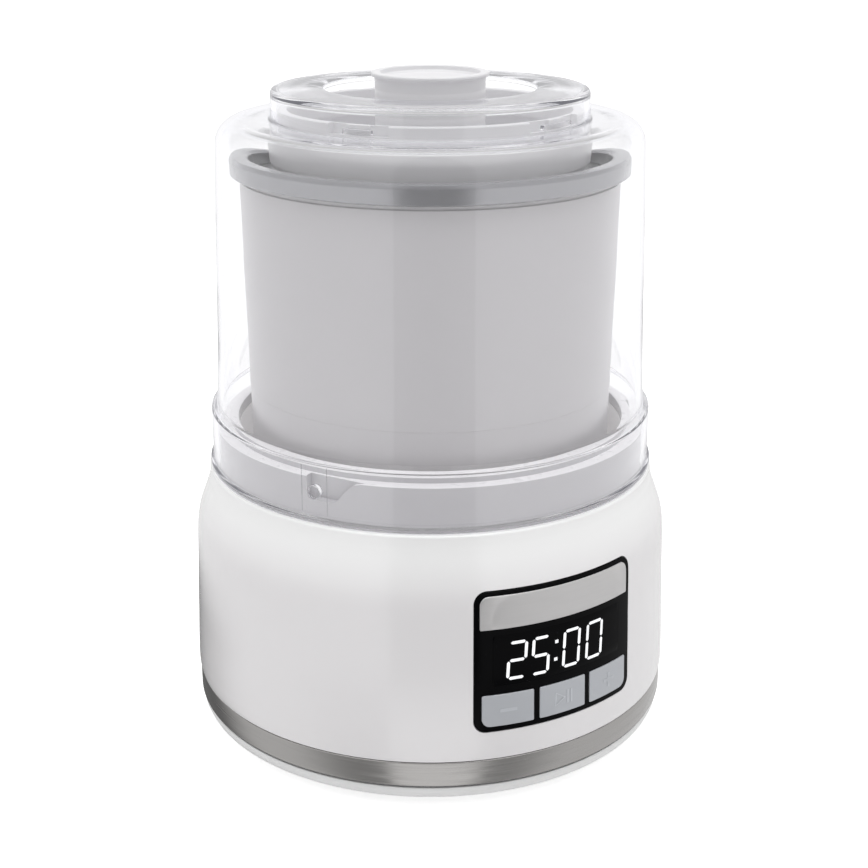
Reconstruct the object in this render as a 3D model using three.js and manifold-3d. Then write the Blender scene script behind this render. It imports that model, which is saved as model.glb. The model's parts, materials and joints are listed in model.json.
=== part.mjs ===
// Frozen-yogurt and ice-cream maker: a motor base with a timer panel, a
// rotating double-walled cooling bowl, a clear bayonet cover and a white inner
// lid that holds the still paddle and the filler plug.
// Millimetres, +Z up. The origin is the centre of the flat pad under the base,
// the machine's turning axis is Z, and the control panel faces -Y.
// Angles given in degrees run counter-clockwise, seen from above, from the
// panel's centre, unless a comment says otherwise.
import * as THREE from 'three';
import { mergeVertices } from 'three/addons/utils/BufferGeometryUtils.js';
import Module from 'manifold-3d';

const wasm = await Module();
wasm.setup();

// ---------------------------------------------------------------- dimensions
const DEG = Math.PI / 180;
const SHELL_SEGMENTS = 30; // facets of the large shells
const BOWL_SEGMENTS = 26;
const PANEL_SEGMENTS = 54; // full turn, for the pieces let into the front
const SMALL_SEGMENTS = 20;
const QUARTER_TURNS = [0, 90, 180, 270];

// Outside of the motor base: [radius, height above the pad], going up.
const HOUSING_OUTSIDE = [
  [105.8, 18.9], [105.2, 43], [104.3, 67], [103.6, 87],
  [102.8, 92], [100.8, 97], [98.2, 104], [96.9, 109.8],
];
const LEDGE_Z = 114; // ledge that the cover's skirt stands over
const COLLAR_R = 92.5; // bayonet collar
const COLLAR_TOP_Z = 132.5;
const WELL_R = 83.6; // well that the bowl turns in
const WELL_FLOOR_Z = 88.5;

const LUG_ANGLES = [-60, 60, 180]; // cover lugs
const LUG_Z = 126.2;
const LUG_R = 2.8;
const COVER_TURN = 5; // degrees from locked to free

const PANEL_HALF_W = 37.8;
const PANEL_Z = [31.5, 91.8];
const KEY_ANGLE = 13.47; // between neighbouring keys
const KEY_HALF_W = 11;
const KEY_Z = [33.8, 47.6];
const STRIP_HALF_W = 35.7;
const STRIP_Z = [75.9, 89.9];
const WINDOW_HALF_W = 31;
const WINDOW_Z = [51.4, 73.2];
const BOARD_Y = -88; // front face of the control board
const BOARD_THICKNESS = 1.6;

// Gear train, module and teeth.
const STAGE_1 = { module: 1, pinion: 12, wheel: 40 };
const STAGE_2 = { module: 1.25, pinion: 12, wheel: 45 };
const centreDistance = ({ module, pinion, wheel }) => (module * (pinion + wheel)) / 2;
const IDLER_Y = centreDistance(STAGE_2);
const MOTOR_Y = IDLER_Y + centreDistance(STAGE_1);
const BACKLASH = 0.28; // total at the pitch circle

const OUTPUT_SHAFT_R = 5;
const AXLE_R = 3;
const ROTOR_R = 2.5;
const RUNNING_GAP = 0.08; // between a turning shaft or gear and its bearing
const PRESS_GAP = 0.04; // between the output shaft and what it carries
const BUSH_R = 8; // outside of the output bush and the shaft seal
const GEARBOX_EARS = [[38.5, 2], [-38.5, 2], [26, 52], [-26, 52]]; // screw places, [x, y]

const SCREW_R = 92; // bottom screws, distance from the axis
const SHANK_R = 1.5;
const PILOT_R = 1.62; // screw holes in posts and bosses
const FOOT_R = 78; // feet, distance from the axis
const FOOT_ANGLES = [45, 135, 225, 315];
const FOOT_H = 3.5;
const GROMMET_Z = 33;
const CORD_R = 3.1;

// ----------------------------------------------------------------- materials
const finish = (settings) => new THREE.MeshStandardMaterial(settings);
const WHITE = finish({ color: '#e6e5e4', roughness: 0.3 });
const WELL_WHITE = finish({ color: '#d9d4cf', roughness: 0.5 });
const STEEL = finish({ color: '#9b9894', roughness: 0.35, metalness: 1 });
const PALE_GREY = finish({ color: '#d8d8d8', roughness: 0.4 });
const BLACK_GLOSS = finish({ color: '#0b0b0d', roughness: 0.12 });
const SILVER = finish({ color: '#b9babd', roughness: 0.35, metalness: 0.8 });
const KEY_SILVER = finish({ color: '#b2b6bd', roughness: 0.4, metalness: 0.6 });
const BOWL_GREY = finish({ color: '#c4c2c3', roughness: 0.4 });
const RIM_GREY = finish({ color: '#a5a5a8', roughness: 0.55 });
const POT_METAL = finish({ color: '#c9cacc', roughness: 0.35, metalness: 0.9 });
const GEL = finish({ color: '#a9c9dd', roughness: 0.6 });
const CLEAR = finish({ color: '#f2f2f7', roughness: 0.05, transparent: true, opacity: 0.25 });
const LID_WHITE = finish({ color: '#ededee', roughness: 0.35 });
const RUBBER = finish({ color: '#2b2b2b', roughness: 0.9 });
const BOARD_GREEN = finish({ color: '#1f5a34', roughness: 0.6 });
const CHIP = finish({ color: '#1b1b1d', roughness: 0.5 });
const GEAR = finish({ color: '#e9e2cf', roughness: 0.55 });
const BRONZE = finish({ color: '#b08d57', roughness: 0.4, metalness: 0.9 });
const MOTOR = finish({ color: '#8f9194', roughness: 0.4, metalness: 0.8 });
const CORD = finish({ color: '#e3e2e1', roughness: 0.6 });

// -------------------------------------------------------------------- tools
// A Manifold body from a closed geometry: one vertex at each place, no
// slivers, faces turned outwards.
function solid(geometry) {
  for (const name of Object.keys(geometry.attributes))
    if (name !== 'position') geometry.deleteAttribute(name);
  const merged = mergeVertices(geometry, 1e-4);
  const positions = merged.attributes.position;
  const index = merged.index.array;
  const triangles = [];
  const corners = [0, 1, 2].map(() => new THREE.Vector3());
  let volume = 0;
  for (let i = 0; i < index.length; i += 3) {
    const triangle = [index[i], index[i + 1], index[i + 2]];
    if (new Set(triangle).size < 3) continue;
    triangles.push(...triangle);
    corners.forEach((corner, k) => corner.fromBufferAttribute(positions, triangle[k]));
    volume += corners[0].dot(corners[1].cross(corners[2]));
  }
  if (volume < 0)
    for (let i = 0; i < triangles.length; i += 3)
      [triangles[i + 1], triangles[i + 2]] = [triangles[i + 2], triangles[i + 1]];
  return new wasm.Manifold(new wasm.Mesh({
    numProp: 3,
    vertProperties: new Float32Array(positions.array),
    triVerts: new Uint32Array(triangles),
  }));
}

// A named, flat-shaded mesh of a body, with its origin at a position.
function piece(name, body, material, position = [0, 0, 0]) {
  const made = body.getMesh();
  const indexed = new THREE.BufferGeometry();
  indexed.setAttribute(
    'position', new THREE.BufferAttribute(new Float32Array(made.vertProperties), 3));
  indexed.setIndex(new THREE.BufferAttribute(new Uint32Array(made.triVerts), 1));
  const geometry = indexed.toNonIndexed();
  geometry.computeVertexNormals();
  const mesh = new THREE.Mesh(geometry, material);
  mesh.name = name;
  mesh.position.set(...position);
  return mesh;
}

const group = (...members) => new THREE.Group().add(...members);
const join = (body, ...others) => others.reduce((sum, other) => sum.add(other), body);
const cut = (body, ...tools) => tools.reduce((rest, tool) => rest.subtract(tool), body);
const around = (body, degrees) => body.rotate([0, 0, degrees]);
const repeated = (body, angles) => angles.map((angle) => around(body, angle));
const grown = ([low, high], margin) => [low - margin, high + margin];

// The place at a distance from the axis and an angle from the panel's centre.
const polar = (radius, degrees, z) =>
  [radius * Math.sin(degrees * DEG), -radius * Math.cos(degrees * DEG), z];

// A turned solid from [radius, height] pairs in order round the section. All
// the tables handed to it have these two columns.
function turned(section, segments = SHELL_SEGMENTS) {
  const points = section.map(([radius, z]) => new THREE.Vector2(radius, z));
  const onAxis = section[0][0] === 0 && section.at(-1)[0] === 0;
  if (!onAxis) points.push(points[0].clone());
  return solid(new THREE.LatheGeometry(points, segments).rotateX(Math.PI / 2));
}

// An upright cylinder.
function rod(radius, z0, z1, { segments = SMALL_SEGMENTS, x = 0, y = 0 } = {}) {
  return solid(
    new THREE.CylinderGeometry(radius, radius, z1 - z0, segments)
      .rotateX(Math.PI / 2)
      .translate(x, y, (z0 + z1) / 2),
  );
}

// A cylinder lying along Y.
function rodAlongY(radius, y0, y1, { segments = 8, x = 0, z }) {
  return solid(
    new THREE.CylinderGeometry(radius, radius, y1 - y0, segments)
      .translate(x, (y0 + y1) / 2, z),
  );
}

function block([x0, x1], [y0, y1], [z0, z1]) {
  return solid(
    new THREE.BoxGeometry(x1 - x0, y1 - y0, z1 - z0)
      .translate((x0 + x1) / 2, (y0 + y1) / 2, (z0 + z1) / 2),
  );
}

const vectors = (pairs) => pairs.map(([across, up]) => new THREE.Vector2(across, up));

// A round-cornered rectangle in X and Z, centred on X = 0.
function roundedOutline(halfWidth, [z0, z1], bottomRadius, topRadius = bottomRadius) {
  const shape = new THREE.Shape();
  const bottomX = halfWidth - bottomRadius;
  const topX = halfWidth - topRadius;
  shape.moveTo(-bottomX, z0);
  shape.lineTo(bottomX, z0);
  shape.absarc(bottomX, z0 + bottomRadius, bottomRadius, -Math.PI / 2, 0, false);
  shape.lineTo(halfWidth, z1 - topRadius);
  shape.absarc(topX, z1 - topRadius, topRadius, 0, Math.PI / 2, false);
  shape.lineTo(-topX, z1);
  shape.absarc(-topX, z1 - topRadius, topRadius, Math.PI / 2, Math.PI, false);
  shape.lineTo(-halfWidth, z0 + bottomRadius);
  shape.absarc(-bottomX, z0 + bottomRadius, bottomRadius, Math.PI, Math.PI * 1.5, false);
  return shape;
}

// A shape drawn in X and Z, pushed along Y from y0 to y1.
function pushed(shape, y0, y1) {
  return solid(
    new THREE.ExtrudeGeometry(shape, { depth: y1 - y0, bevelEnabled: false, curveSegments: 2 })
      .rotateX(Math.PI / 2)
      .translate(0, y1, 0),
  );
}

// A shape drawn in X and Z, pushed right through the front wall.
const throughFront = (shape) => pushed(shape, -130, -60);

// A shape drawn in X and Y, pushed up from z0 to z1.
function raised(shape, z0, z1, curveSegments = 4) {
  return solid(
    new THREE.ExtrudeGeometry(shape, { depth: z1 - z0, bevelEnabled: false, curveSegments })
      .translate(0, 0, z0),
  );
}

// Radius of the base's outside at a height.
function housingRadius(z) {
  const above = HOUSING_OUTSIDE.findIndex(([, height]) => z <= height);
  const [lowRadius, lowZ] = HOUSING_OUTSIDE[above - 1];
  const [highRadius, highZ] = HOUSING_OUTSIDE[above];
  return THREE.MathUtils.mapLinear(z, lowZ, highZ, lowRadius, highRadius);
}

// A ring whose outside follows the base at a distance, for pieces let into it.
function followingRing(innerRadius, offset, [z0, z1]) {
  const between = HOUSING_OUTSIDE.map(([, z]) => z).filter((z) => z > z0 + 1 && z < z1 - 1);
  const outside = [z0, ...between, z1].map((z) => [housingRadius(z) + offset, z]);
  return turned([[innerRadius, z0], ...outside, [innerRadius, z1]], PANEL_SEGMENTS);
}

// ------------------------------------------------------------ base, outside
const TRIM_TOP_Z = HOUSING_OUTSIDE[0][1]; // the base steps out above the trim ring
const SKIRT_R = 103.8;
const SKIRT_Z = 7.4;

// Channel in the collar that a cover lug travels in.
function lugChannel() {
  const travel = COLLAR_R * COVER_TURN * DEG;
  const reach = LUG_R + 0.4;
  const topZ = COLLAR_TOP_Z + 2;
  const shape = new THREE.Shape(vectors([
    [-reach, topZ], [-reach, LUG_Z - 1.2], [-1.7, LUG_Z - reach],
    [travel + 1.4, LUG_Z - reach], [travel + reach, LUG_Z - 0.6],
    [travel + reach + 0.4, LUG_Z + 2.6], [travel + reach + 2.2, topZ],
  ]));
  return pushed(shape, -97, -89);
}

// A square with rounded corners about the cord's way through the back wall.
const grommetSquare = (half, corner) =>
  roundedOutline(half, grown([GROMMET_Z, GROMMET_Z], half), corner);

function baseHousing() {
  const shell = turned([
    [SKIRT_R, SKIRT_Z], [SKIRT_R, TRIM_TOP_Z],
    ...HOUSING_OUTSIDE,
    [96.6, 113.2], [95.8, LEDGE_Z], [COLLAR_R, LEDGE_Z],
    [COLLAR_R, COLLAR_TOP_Z - 0.9], [COLLAR_R - 0.9, COLLAR_TOP_Z],
    [WELL_R, COLLAR_TOP_Z], [WELL_R, 130], [87.3, 130],
    [87.3, 126.4], [86.1, 126], [86.1, 124.8], [87.3, 124],
    [87.3, 111], [94.2, 108], [98.2, 98], [100.6, 90], [101.2, 84], [101.2, SKIRT_Z],
  ]);
  const panelGap = 0.3;
  const panelHole = throughFront(
    roundedOutline(PANEL_HALF_W + panelGap, grown(PANEL_Z, panelGap), 5.3));
  const screwPost = join(
    rod(5, 8.4, 26, { segments: 8, y: -SCREW_R }),
    block([-1.5, 1.5], [-102.4, -SCREW_R], [8.4, 26]),
  );
  const screwHole = rod(PILOT_R, 7, 23.5, { segments: 8, y: -SCREW_R });
  const opened = cut(shell, ...repeated(lugChannel(), LUG_ANGLES), panelHole);
  const posted = join(opened, ...repeated(screwPost, QUARTER_TURNS));
  const body = cut(
    posted,
    ...repeated(screwHole, QUARTER_TURNS),
    pushed(grommetSquare(5.3, 3), 95, 112),
  );
  return piece('base_housing', body, WHITE);
}

function trimRing() {
  const [inner, outer, bottom, top] = [104.15, 105.4, 7.6, 18.6];
  const section = [[inner, bottom], [outer, bottom], [outer, top], [inner, top]];
  return piece('trim_ring', turned(section), STEEL);
}

function wellLiner() {
  const bore = BUSH_R + 0.06;
  let body = turned([
    [bore, 83.4], [13, 83.4], [13, 86], [78, 86], [82.2, 89.5], [85.6, 106],
    [85.6, 126.7], [87, 126.7], [87, 129.7], [WELL_R, 129.7],
    [WELL_R, 106], [80.6, 91], [77, WELL_FLOOR_Z], [13, WELL_FLOOR_Z],
    [13, 93], [bore, 93],
  ]);
  for (const [x, y] of GEARBOX_EARS) {
    body = body
      .add(rod(4.6, 83.3, 86.5, { segments: 8, x, y }))
      .subtract(rod(PILOT_R, 83, 87.6, { segments: 8, x, y }));
  }
  return piece('well_liner', body, WELL_WHITE);
}

// -------------------------------------------------------------- bottom plate
function bottomPlate() {
  const disc = turned([
    [0, 0], [26, 0], [26, 1], [98, 1], [100.6, 0.4], [103, 1.5],
    [104.6, 4], [104.6, 7], [97.6, 7], [97.6, 3.5], [0, 3.5],
  ]);
  const atScrew = (radius, z0, z1, segments) =>
    repeated(rod(radius, z0, z1, { segments, y: -SCREW_R }), QUARTER_TURNS);
  const footHole = rod(3.3, -1, 5, { segments: 10, y: -FOOT_R });
  // Two rows of three slots, before and behind the centre.
  const slotHalf = { width: 2, length: 14 };
  const slots = [-11, 0, 11].flatMap((x) => [-50, 50].map((y) =>
    block(grown([x, x], slotHalf.width), grown([y, y], slotHalf.length), [-1, 5])));
  const body = cut(
    join(disc, ...atScrew(5.2, 3, 8, 10)), // bosses
    ...atScrew(3.6, -1, 5, 10), // head recesses
    ...atScrew(1.75, -1, 9, 8), // shank holes
    ...repeated(footHole, FOOT_ANGLES),
    ...slots,
  );
  return piece('bottom_plate', body, PALE_GREY);
}

function feet() {
  const body = turned([
    [0, -FOOT_H], [8.2, -FOOT_H], [9, -FOOT_H + 0.8], [9, 0.9], [3, 0.9],
    [3, 3.7], [4.2, 3.7], [3, 5.6], [0, 5.6],
  ], 10);
  return FOOT_ANGLES.map((angle, i) =>
    piece(`foot_${i + 1}`, body, RUBBER, polar(FOOT_R, angle, 0)));
}

// A screw pointing up, standing on its head.
const screwBody = (headRadius, length) => turned([
  [0, 0], [headRadius, 0], [headRadius, 2.2], [SHANK_R, 2.2], [SHANK_R, length], [0, length],
], 7);

const bottomScrews = () => QUARTER_TURNS.map((angle, i) =>
  piece(`bottom_screw_${i + 1}`, screwBody(3.2, 20), STEEL, polar(SCREW_R, angle, 2.6)));

// ------------------------------------------------------------- control panel
const KEYS = ['button_minus', 'button_start', 'button_plus']; // left to right
const DISPLAY_BACK_Y = BOARD_Y - 0.3; // back of the display and the bezel's pins

const keyPrism = (gap) => throughFront(
  roundedOutline(KEY_HALF_W + gap, grown(KEY_Z, gap), 1.2 + gap));

function panelBezel() {
  const gap = 0.2; // round the lens and the strip
  const face = followingRing(97.8, 0.25, [PANEL_Z[0] - 0.5, PANEL_Z[1]])
    .intersect(throughFront(roundedOutline(PANEL_HALF_W, PANEL_Z, 5)));
  // Flange behind the housing's wall, wider than the hole.
  const flange = turned([[97.8, 27], [99, 27], [99, 92.6], [97.8, 92.6]], PANEL_SEGMENTS)
    .intersect(throughFront(roundedOutline(40.3, [28.5, 92.6], 3)));
  const lensRecess = followingRing(102.6, 5, grown(WINDOW_Z, 3))
    .intersect(throughFront(roundedOutline(WINDOW_HALF_W + gap, grown(WINDOW_Z, gap), 1.2)));
  const displayHole = throughFront(roundedOutline(28, [53, 71.6], 0.8));
  const stripRecess = followingRing(90, 5, grown(STRIP_Z, 3))
    .subtract(followingRing(80, -0.7, grown(STRIP_Z, 5)))
    .intersect(throughFront(
      roundedOutline(STRIP_HALF_W + gap, grown(STRIP_Z, gap), 0.6, 3.7)));
  const pins = [-36.6, 36.6].flatMap((x) =>
    [31.6, 89].map((z) => rodAlongY(1.8, -92, DISPLAY_BACK_Y, { x, z })));
  const opened = cut(
    join(face, flange),
    ...repeated(keyPrism(0.35), [-KEY_ANGLE, 0, KEY_ANGLE]),
    lensRecess, displayHole, stripRecess,
  );
  return piece('panel_bezel', join(opened, ...pins), BLACK_GLOSS);
}

function nameplateStrip() {
  const body = followingRing(95, 0.45, grown(STRIP_Z, 2))
    .subtract(followingRing(80, -0.45, grown(STRIP_Z, 5)))
    .intersect(throughFront(roundedOutline(STRIP_HALF_W, STRIP_Z, 0.5, 3.5)));
  return piece('nameplate_strip', body, SILVER);
}

function displayLens() {
  const body = followingRing(102.85, 0.2, grown(WINDOW_Z, 2))
    .intersect(throughFront(roundedOutline(WINDOW_HALF_W, WINDOW_Z, 1)));
  return piece('display_lens', body, BLACK_GLOSS);
}

const displayModule = () => piece(
  'display_module', block([-27.5, 27.5], [-98.4, DISPLAY_BACK_Y], [53.5, 71.2]), CHIP);

// The keys are alike, drawn at the front and turned to their places. Only the
// middle one has a stem behind it.
function buttons() {
  const key = followingRing(96.6, 0.55, grown(KEY_Z, 3)).intersect(keyPrism(0));
  const stem = block([-2, 2], [-97, -93.7], [38.7, 42.7]);
  return KEYS.map((name, i) => {
    const button = piece(name, i === 1 ? join(key, stem) : key, KEY_SILVER);
    button.rotation.z = (i - 1) * KEY_ANGLE * DEG;
    return button;
  });
}

function controlBoard() {
  const body = cut(
    block([-40, 40], [BOARD_Y, BOARD_Y + BOARD_THICKNESS], [29, 91.5]),
    block([-4, 4], [BOARD_Y - 1, BOARD_Y + 3], [27, 31]),
  );
  return piece('control_board', body, BOARD_GREEN);
}

function tactSwitches() {
  const pitch = 22;
  const halfSize = 3;
  const centreZ = 40.7;
  const body = join(
    block([-halfSize, halfSize], [BOARD_Y - 3.6, BOARD_Y - 0.1], grown([centreZ, centreZ], halfSize)),
    rodAlongY(1.6, BOARD_Y - 4.6, BOARD_Y - 3.2, { z: centreZ }),
  );
  return [-pitch, 0, pitch].map((x, i) =>
    piece(`tact_switch_${i + 1}`, body, CHIP, [x, 0, 0]));
}

// ---------------------------------------------------------------- gear train
const PRESSURE_ANGLE = 20 * DEG;
const WHEEL_TOOTH_AT = 90; // from +X: a wheel's tooth points at its pinion, on +Y
// From +X: puts a gap between a pinion's teeth on -Y, where its wheel lies.
const pinionToothAt = (teeth) => 270 + 180 / teeth;

// A spur gear about Z: teeth on involute flanks, thinned for backlash. A
// detailed gear has a flank point at the pitch circle as well.
function gear({ module, teeth, z0, z1, toothAt, detailed = false }) {
  const pitchR = (module * teeth) / 2;
  const baseR = pitchR * Math.cos(PRESSURE_ANGLE);
  const tipR = pitchR + 0.8 * module;
  const rootR = pitchR - 1.15 * module;
  const involute = (radius) => {
    if (radius <= baseR) return 0;
    const angle = Math.acos(baseR / radius);
    return Math.tan(angle) - angle;
  };
  const halfAtPitch = Math.PI / (2 * teeth) - BACKLASH / 4 / pitchR;
  const halfAngle = (radius) => halfAtPitch + involute(pitchR) - involute(radius);
  const radii = detailed ? [rootR, pitchR, tipR] : [rootR, tipR];
  const points = [];
  for (let i = 0; i < teeth; i++) {
    const centre = toothAt * DEG + (i * 2 * Math.PI) / teeth;
    const tooth = [
      ...radii.map((radius) => [radius, centre - halfAngle(radius)]),
      ...radii.toReversed().map((radius) => [radius, centre + halfAngle(radius)]),
    ];
    for (const [radius, angle] of tooth)
      points.push([radius * Math.cos(angle), radius * Math.sin(angle)]);
  }
  return raised(new THREE.Shape(vectors(points)), z0, z1);
}

function outputGear() {
  const wheel = gear({
    module: STAGE_2.module, teeth: STAGE_2.wheel, z0: 66, z1: 74, toothAt: WHEEL_TOOTH_AT,
  });
  return piece('output_gear', cut(wheel, rod(OUTPUT_SHAFT_R + PRESS_GAP, 65, 75)), GEAR);
}

function idlerGear() {
  const wheel = gear({
    module: STAGE_1.module, teeth: STAGE_1.wheel, z0: 58.8, z1: 63.4, toothAt: WHEEL_TOOTH_AT,
  });
  const pinion = gear({
    module: STAGE_2.module, teeth: STAGE_2.pinion, z0: 63, z1: 75,
    toothAt: pinionToothAt(STAGE_2.pinion), detailed: true,
  });
  const body = cut(join(wheel, pinion), rod(AXLE_R + RUNNING_GAP, 57, 76));
  return piece('idler_gear', body, GEAR, [0, IDLER_Y, 0]);
}

const idlerAxle = () =>
  piece('idler_axle', rod(AXLE_R, 55.2, 82.8), STEEL, [0, IDLER_Y, 0]);

// Pinion and rotor shaft in one.
function motorPinion() {
  const pinion = gear({
    module: STAGE_1.module, teeth: STAGE_1.pinion, z0: 58.6, z1: 63.8,
    toothAt: pinionToothAt(STAGE_1.pinion), detailed: true,
  });
  return piece('motor_pinion', join(pinion, rod(ROTOR_R, 26, 65)), BRONZE, [0, MOTOR_Y, 0]);
}

function motorBody() {
  const bore = ROTOR_R + RUNNING_GAP;
  const can = turned([
    [0, 16], [20, 16], [22, 18], [22, 51], [25, 51.3], [25, 54.7],
    [bore, 54.7], [bore, 24], [0, 24],
  ], 24);
  return piece('motor_body', can, MOTOR, [0, MOTOR_Y, 0]);
}

// ------------------------------------------------------------------- gearbox
const CASE_Z = [55, 80];
const CASE_WALL = 2.4;
const CASE_LID_Z = [80.3, 83];
const CASE_OUTPUT_R = 34.6; // end round the output gear
const CASE_MOTOR_R = 19.2; // end round the motor pinion
const AXLE_SEAT_R = AXLE_R + 0.05;

// Plan outline of the gearbox: two circles and their tangents.
function gearboxOutline(inset = 0) {
  const lean = Math.asin((CASE_OUTPUT_R - CASE_MOTOR_R) / MOTOR_Y);
  const shape = new THREE.Shape();
  shape.absarc(0, 0, CASE_OUTPUT_R - inset, Math.PI - lean, 2 * Math.PI + lean, false);
  shape.absarc(0, MOTOR_Y, CASE_MOTOR_R - inset, lean, Math.PI - lean, false);
  return shape;
}

// A short rod at each of the gearbox's screw places.
const atEars = (radius, z0, z1) =>
  GEARBOX_EARS.map(([x, y]) => rod(radius, z0, z1, { segments: 8, x, y }));
const EAR_R = 5.4;
const EAR_HOLE_R = 1.7;

function gearboxHousing() {
  const body = cut(
    join(raised(gearboxOutline(), ...CASE_Z), ...atEars(EAR_R, 74, CASE_Z[1])),
    raised(gearboxOutline(CASE_WALL), CASE_Z[0] + CASE_WALL, 81),
    ...atEars(EAR_HOLE_R, 70, 81),
    rod(OUTPUT_SHAFT_R + RUNNING_GAP, 54, 58),
    rod(AXLE_SEAT_R, 54, 58, { y: IDLER_Y }),
    rod(3.4, 54, 58, { y: MOTOR_Y }),
  );
  return piece('gearbox_housing', body, PALE_GREY);
}

function gearboxCover() {
  const body = cut(
    join(raised(gearboxOutline(), ...CASE_LID_Z), ...atEars(EAR_R, ...CASE_LID_Z)),
    ...atEars(EAR_HOLE_R, 79, 84),
    rod(5.5, 79, 84),
    rod(AXLE_SEAT_R, 79, 84, { y: IDLER_Y }),
  );
  return piece('gearbox_cover', body, PALE_GREY);
}

const gearboxScrews = () => GEARBOX_EARS.map(([x, y], i) =>
  piece(`gearbox_screw_${i + 1}`, screwBody(3, 15.6), STEEL, [x, y, 71.6]));

// ------------------------------------------------------------- output shaft
const BUSH_BORE = OUTPUT_SHAFT_R + RUNNING_GAP;

const outputShaft = () => piece('output_shaft', rod(OUTPUT_SHAFT_R, 55.2, 101.6), STEEL);

const outputBush = () => piece('output_bush', turned([
  [BUSH_BORE, 83.6], [BUSH_R, 83.6], [BUSH_R, 89.6], [BUSH_BORE, 89.6],
], SMALL_SEGMENTS), BRONZE);

const shaftSeal = () => piece('shaft_seal', turned([
  [BUSH_BORE, 90], [BUSH_R, 90], [BUSH_R, 92.6], [6.4, 92.6], [5.9, 91.6], [BUSH_BORE, 92.2],
], SMALL_SEGMENTS), RUBBER);

// Six-sided driving dog.
function driveCoupling() {
  const cornerR = 9.4;
  const dog = turned([
    [0, 93.6], [cornerR, 93.6], [cornerR, 102.6], [cornerR - 1.2, 103.6], [0, 103.6],
  ], 6);
  return piece('drive_coupling', cut(dog, rod(OUTPUT_SHAFT_R + PRESS_GAP, 92, 102)), GEAR);
}

// --------------------------------------------------------------- electronics
// The power board stands upright on the -X side.
const powerBoard = () => piece(
  'power_board', block([-68, -68 + BOARD_THICKNESS], [-34, 30], [10, 56]), BOARD_GREEN);

const transformer = () => piece('board_transformer', join(
  block([-66.2, -48], [-14, 14], [16, 40]),
  block([-62, -52], [-18, 18], [20, 36]),
), CHIP);

// ------------------------------------------------------------ cord and plug
function cordGrommet() {
  const body = cut(
    join(
      pushed(grommetSquare(7.5, 4), 106.2, 108), // outer flange
      pushed(grommetSquare(5, 3), 98, 107), // neck
      pushed(grommetSquare(6.6, 3), 97, 99), // inner flange
    ),
    rodAlongY(3.5, 93, 113, { segments: 10, z: GROMMET_Z }),
  );
  return piece('cord_grommet', body, RUBBER);
}

// Out through the back wall, down to the table and round a widening coil.
function cordCurve() {
  const restZ = CORD_R - FOOT_H;
  const coil = {
    x: 14, y: 158, startAngle: 250, turns: 2.5, startRadius: 17, endRadius: 38, steps: 20,
  };
  const points = [
    [0, 84, GROMMET_Z], [0, 96, GROMMET_Z], [0, 110, GROMMET_Z],
    [1, 118, 31], [3, 127, 22], [6, 136, 12],
  ];
  for (let k = 0; k <= coil.steps; k++) {
    const angle = (coil.startAngle + (k * coil.turns * 360) / coil.steps) * DEG; // from +X
    const radius = coil.startRadius + ((coil.endRadius - coil.startRadius) * k) / coil.steps;
    points.push([
      coil.x + radius * Math.cos(angle),
      coil.y + radius * Math.sin(angle),
      k === 0 ? restZ + 4 : restZ,
    ]);
  }
  return new THREE.CatmullRomCurve3(
    points.map((point) => new THREE.Vector3(...point)), false, 'centripetal');
}

function powerCord(path) {
  const circle = new THREE.Shape().absarc(0, 0, CORD_R, 0, 2 * Math.PI, false);
  const body = solid(new THREE.ExtrudeGeometry(circle, {
    extrudePath: path, steps: 64, curveSegments: 3, bevelEnabled: false,
  }));
  return piece('power_cord', body, CORD);
}

// A flat two-pin plug, drawn along +X from its cord end.
function mainsPlug(path) {
  const cordGap = 0.4;
  const axisHeight = 5.5; // above the table
  const bodyZ = 0.5;
  const alongX = (cordEndR, farR, length, segments, centre) => solid(
    new THREE.CylinderGeometry(cordEndR, farR, length, segments)
      .rotateZ(Math.PI / 2)
      .translate(...centre));
  const body = join(
    alongX(3.6, 5.6, 12, 10, [5.7, 0, 0]),
    solid(new THREE.BoxGeometry(24, 17, 10).translate(22, 0, bodyZ)),
    ...[7, -7].map((y) => alongX(2, 2, 19, 8, [43, y, bodyZ])),
  );
  const end = path.getPoint(1);
  const direction = path.getTangent(1);
  const plug = piece('mains_plug', body, CORD, [
    end.x + direction.x * cordGap, end.y + direction.y * cordGap, axisHeight - FOOT_H,
  ]);
  plug.rotation.z = Math.atan2(direction.y, direction.x);
  return plug;
}

// ---------------------------------------------------------------------- bowl
const bowlShell = () => piece('bowl_outer_shell', turned([
  [14.4, 94], [70, 94], [75.6, 96.6], [77.6, 103], [77.8, 121.5], [77.9, 144],
  [78.2, 172], [78.8, 199], [79.2, 238.6], [77.4, 238.6], [76.2, 172],
  [75.8, 104], [73, 97.2], [69, 95.8], [14.4, 95.8],
], BOWL_SEGMENTS), BOWL_GREY);

const bowlPot = () => piece('bowl_inner_pot', turned([
  [0, 112], [54, 112], [60, 115.4], [62, 122], [63.4, 236.4], [77, 236.4],
  [77, 238], [61.6, 238], [60.2, 123], [58.6, 117], [53.4, 113.6], [0, 113.6],
], BOWL_SEGMENTS), POT_METAL);

const bowlRim = () => piece('bowl_rim_ring', turned([
  [75.4, 238.3], [77, 238.3], [77, 239], [82.2, 239], [83.1, 240.2],
  [83.1, 246.2], [81.9, 247.5], [76.6, 247.5], [75.4, 246.4],
], BOWL_SEGMENTS), RIM_GREY);

const coolantFill = () => piece('coolant_fill', turned([
  [21, 99], [68, 99], [73.4, 104], [74.6, 224], [64.2, 224],
  [62.8, 120.5], [61, 113.6], [55, 110.6], [21, 110.6],
], SMALL_SEGMENTS), GEL);

// Six-sided, over the driving dog.
const bowlSocket = () => piece('bowl_drive_socket', turned([
  [10.2, 94.2], [14, 94.2], [14, 96.2], [19.6, 96.2], [19.6, 98.2],
  [14, 98.2], [14, 107.4], [0, 107.4], [0, 105], [10.2, 105],
], 6), GEAR);

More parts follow.
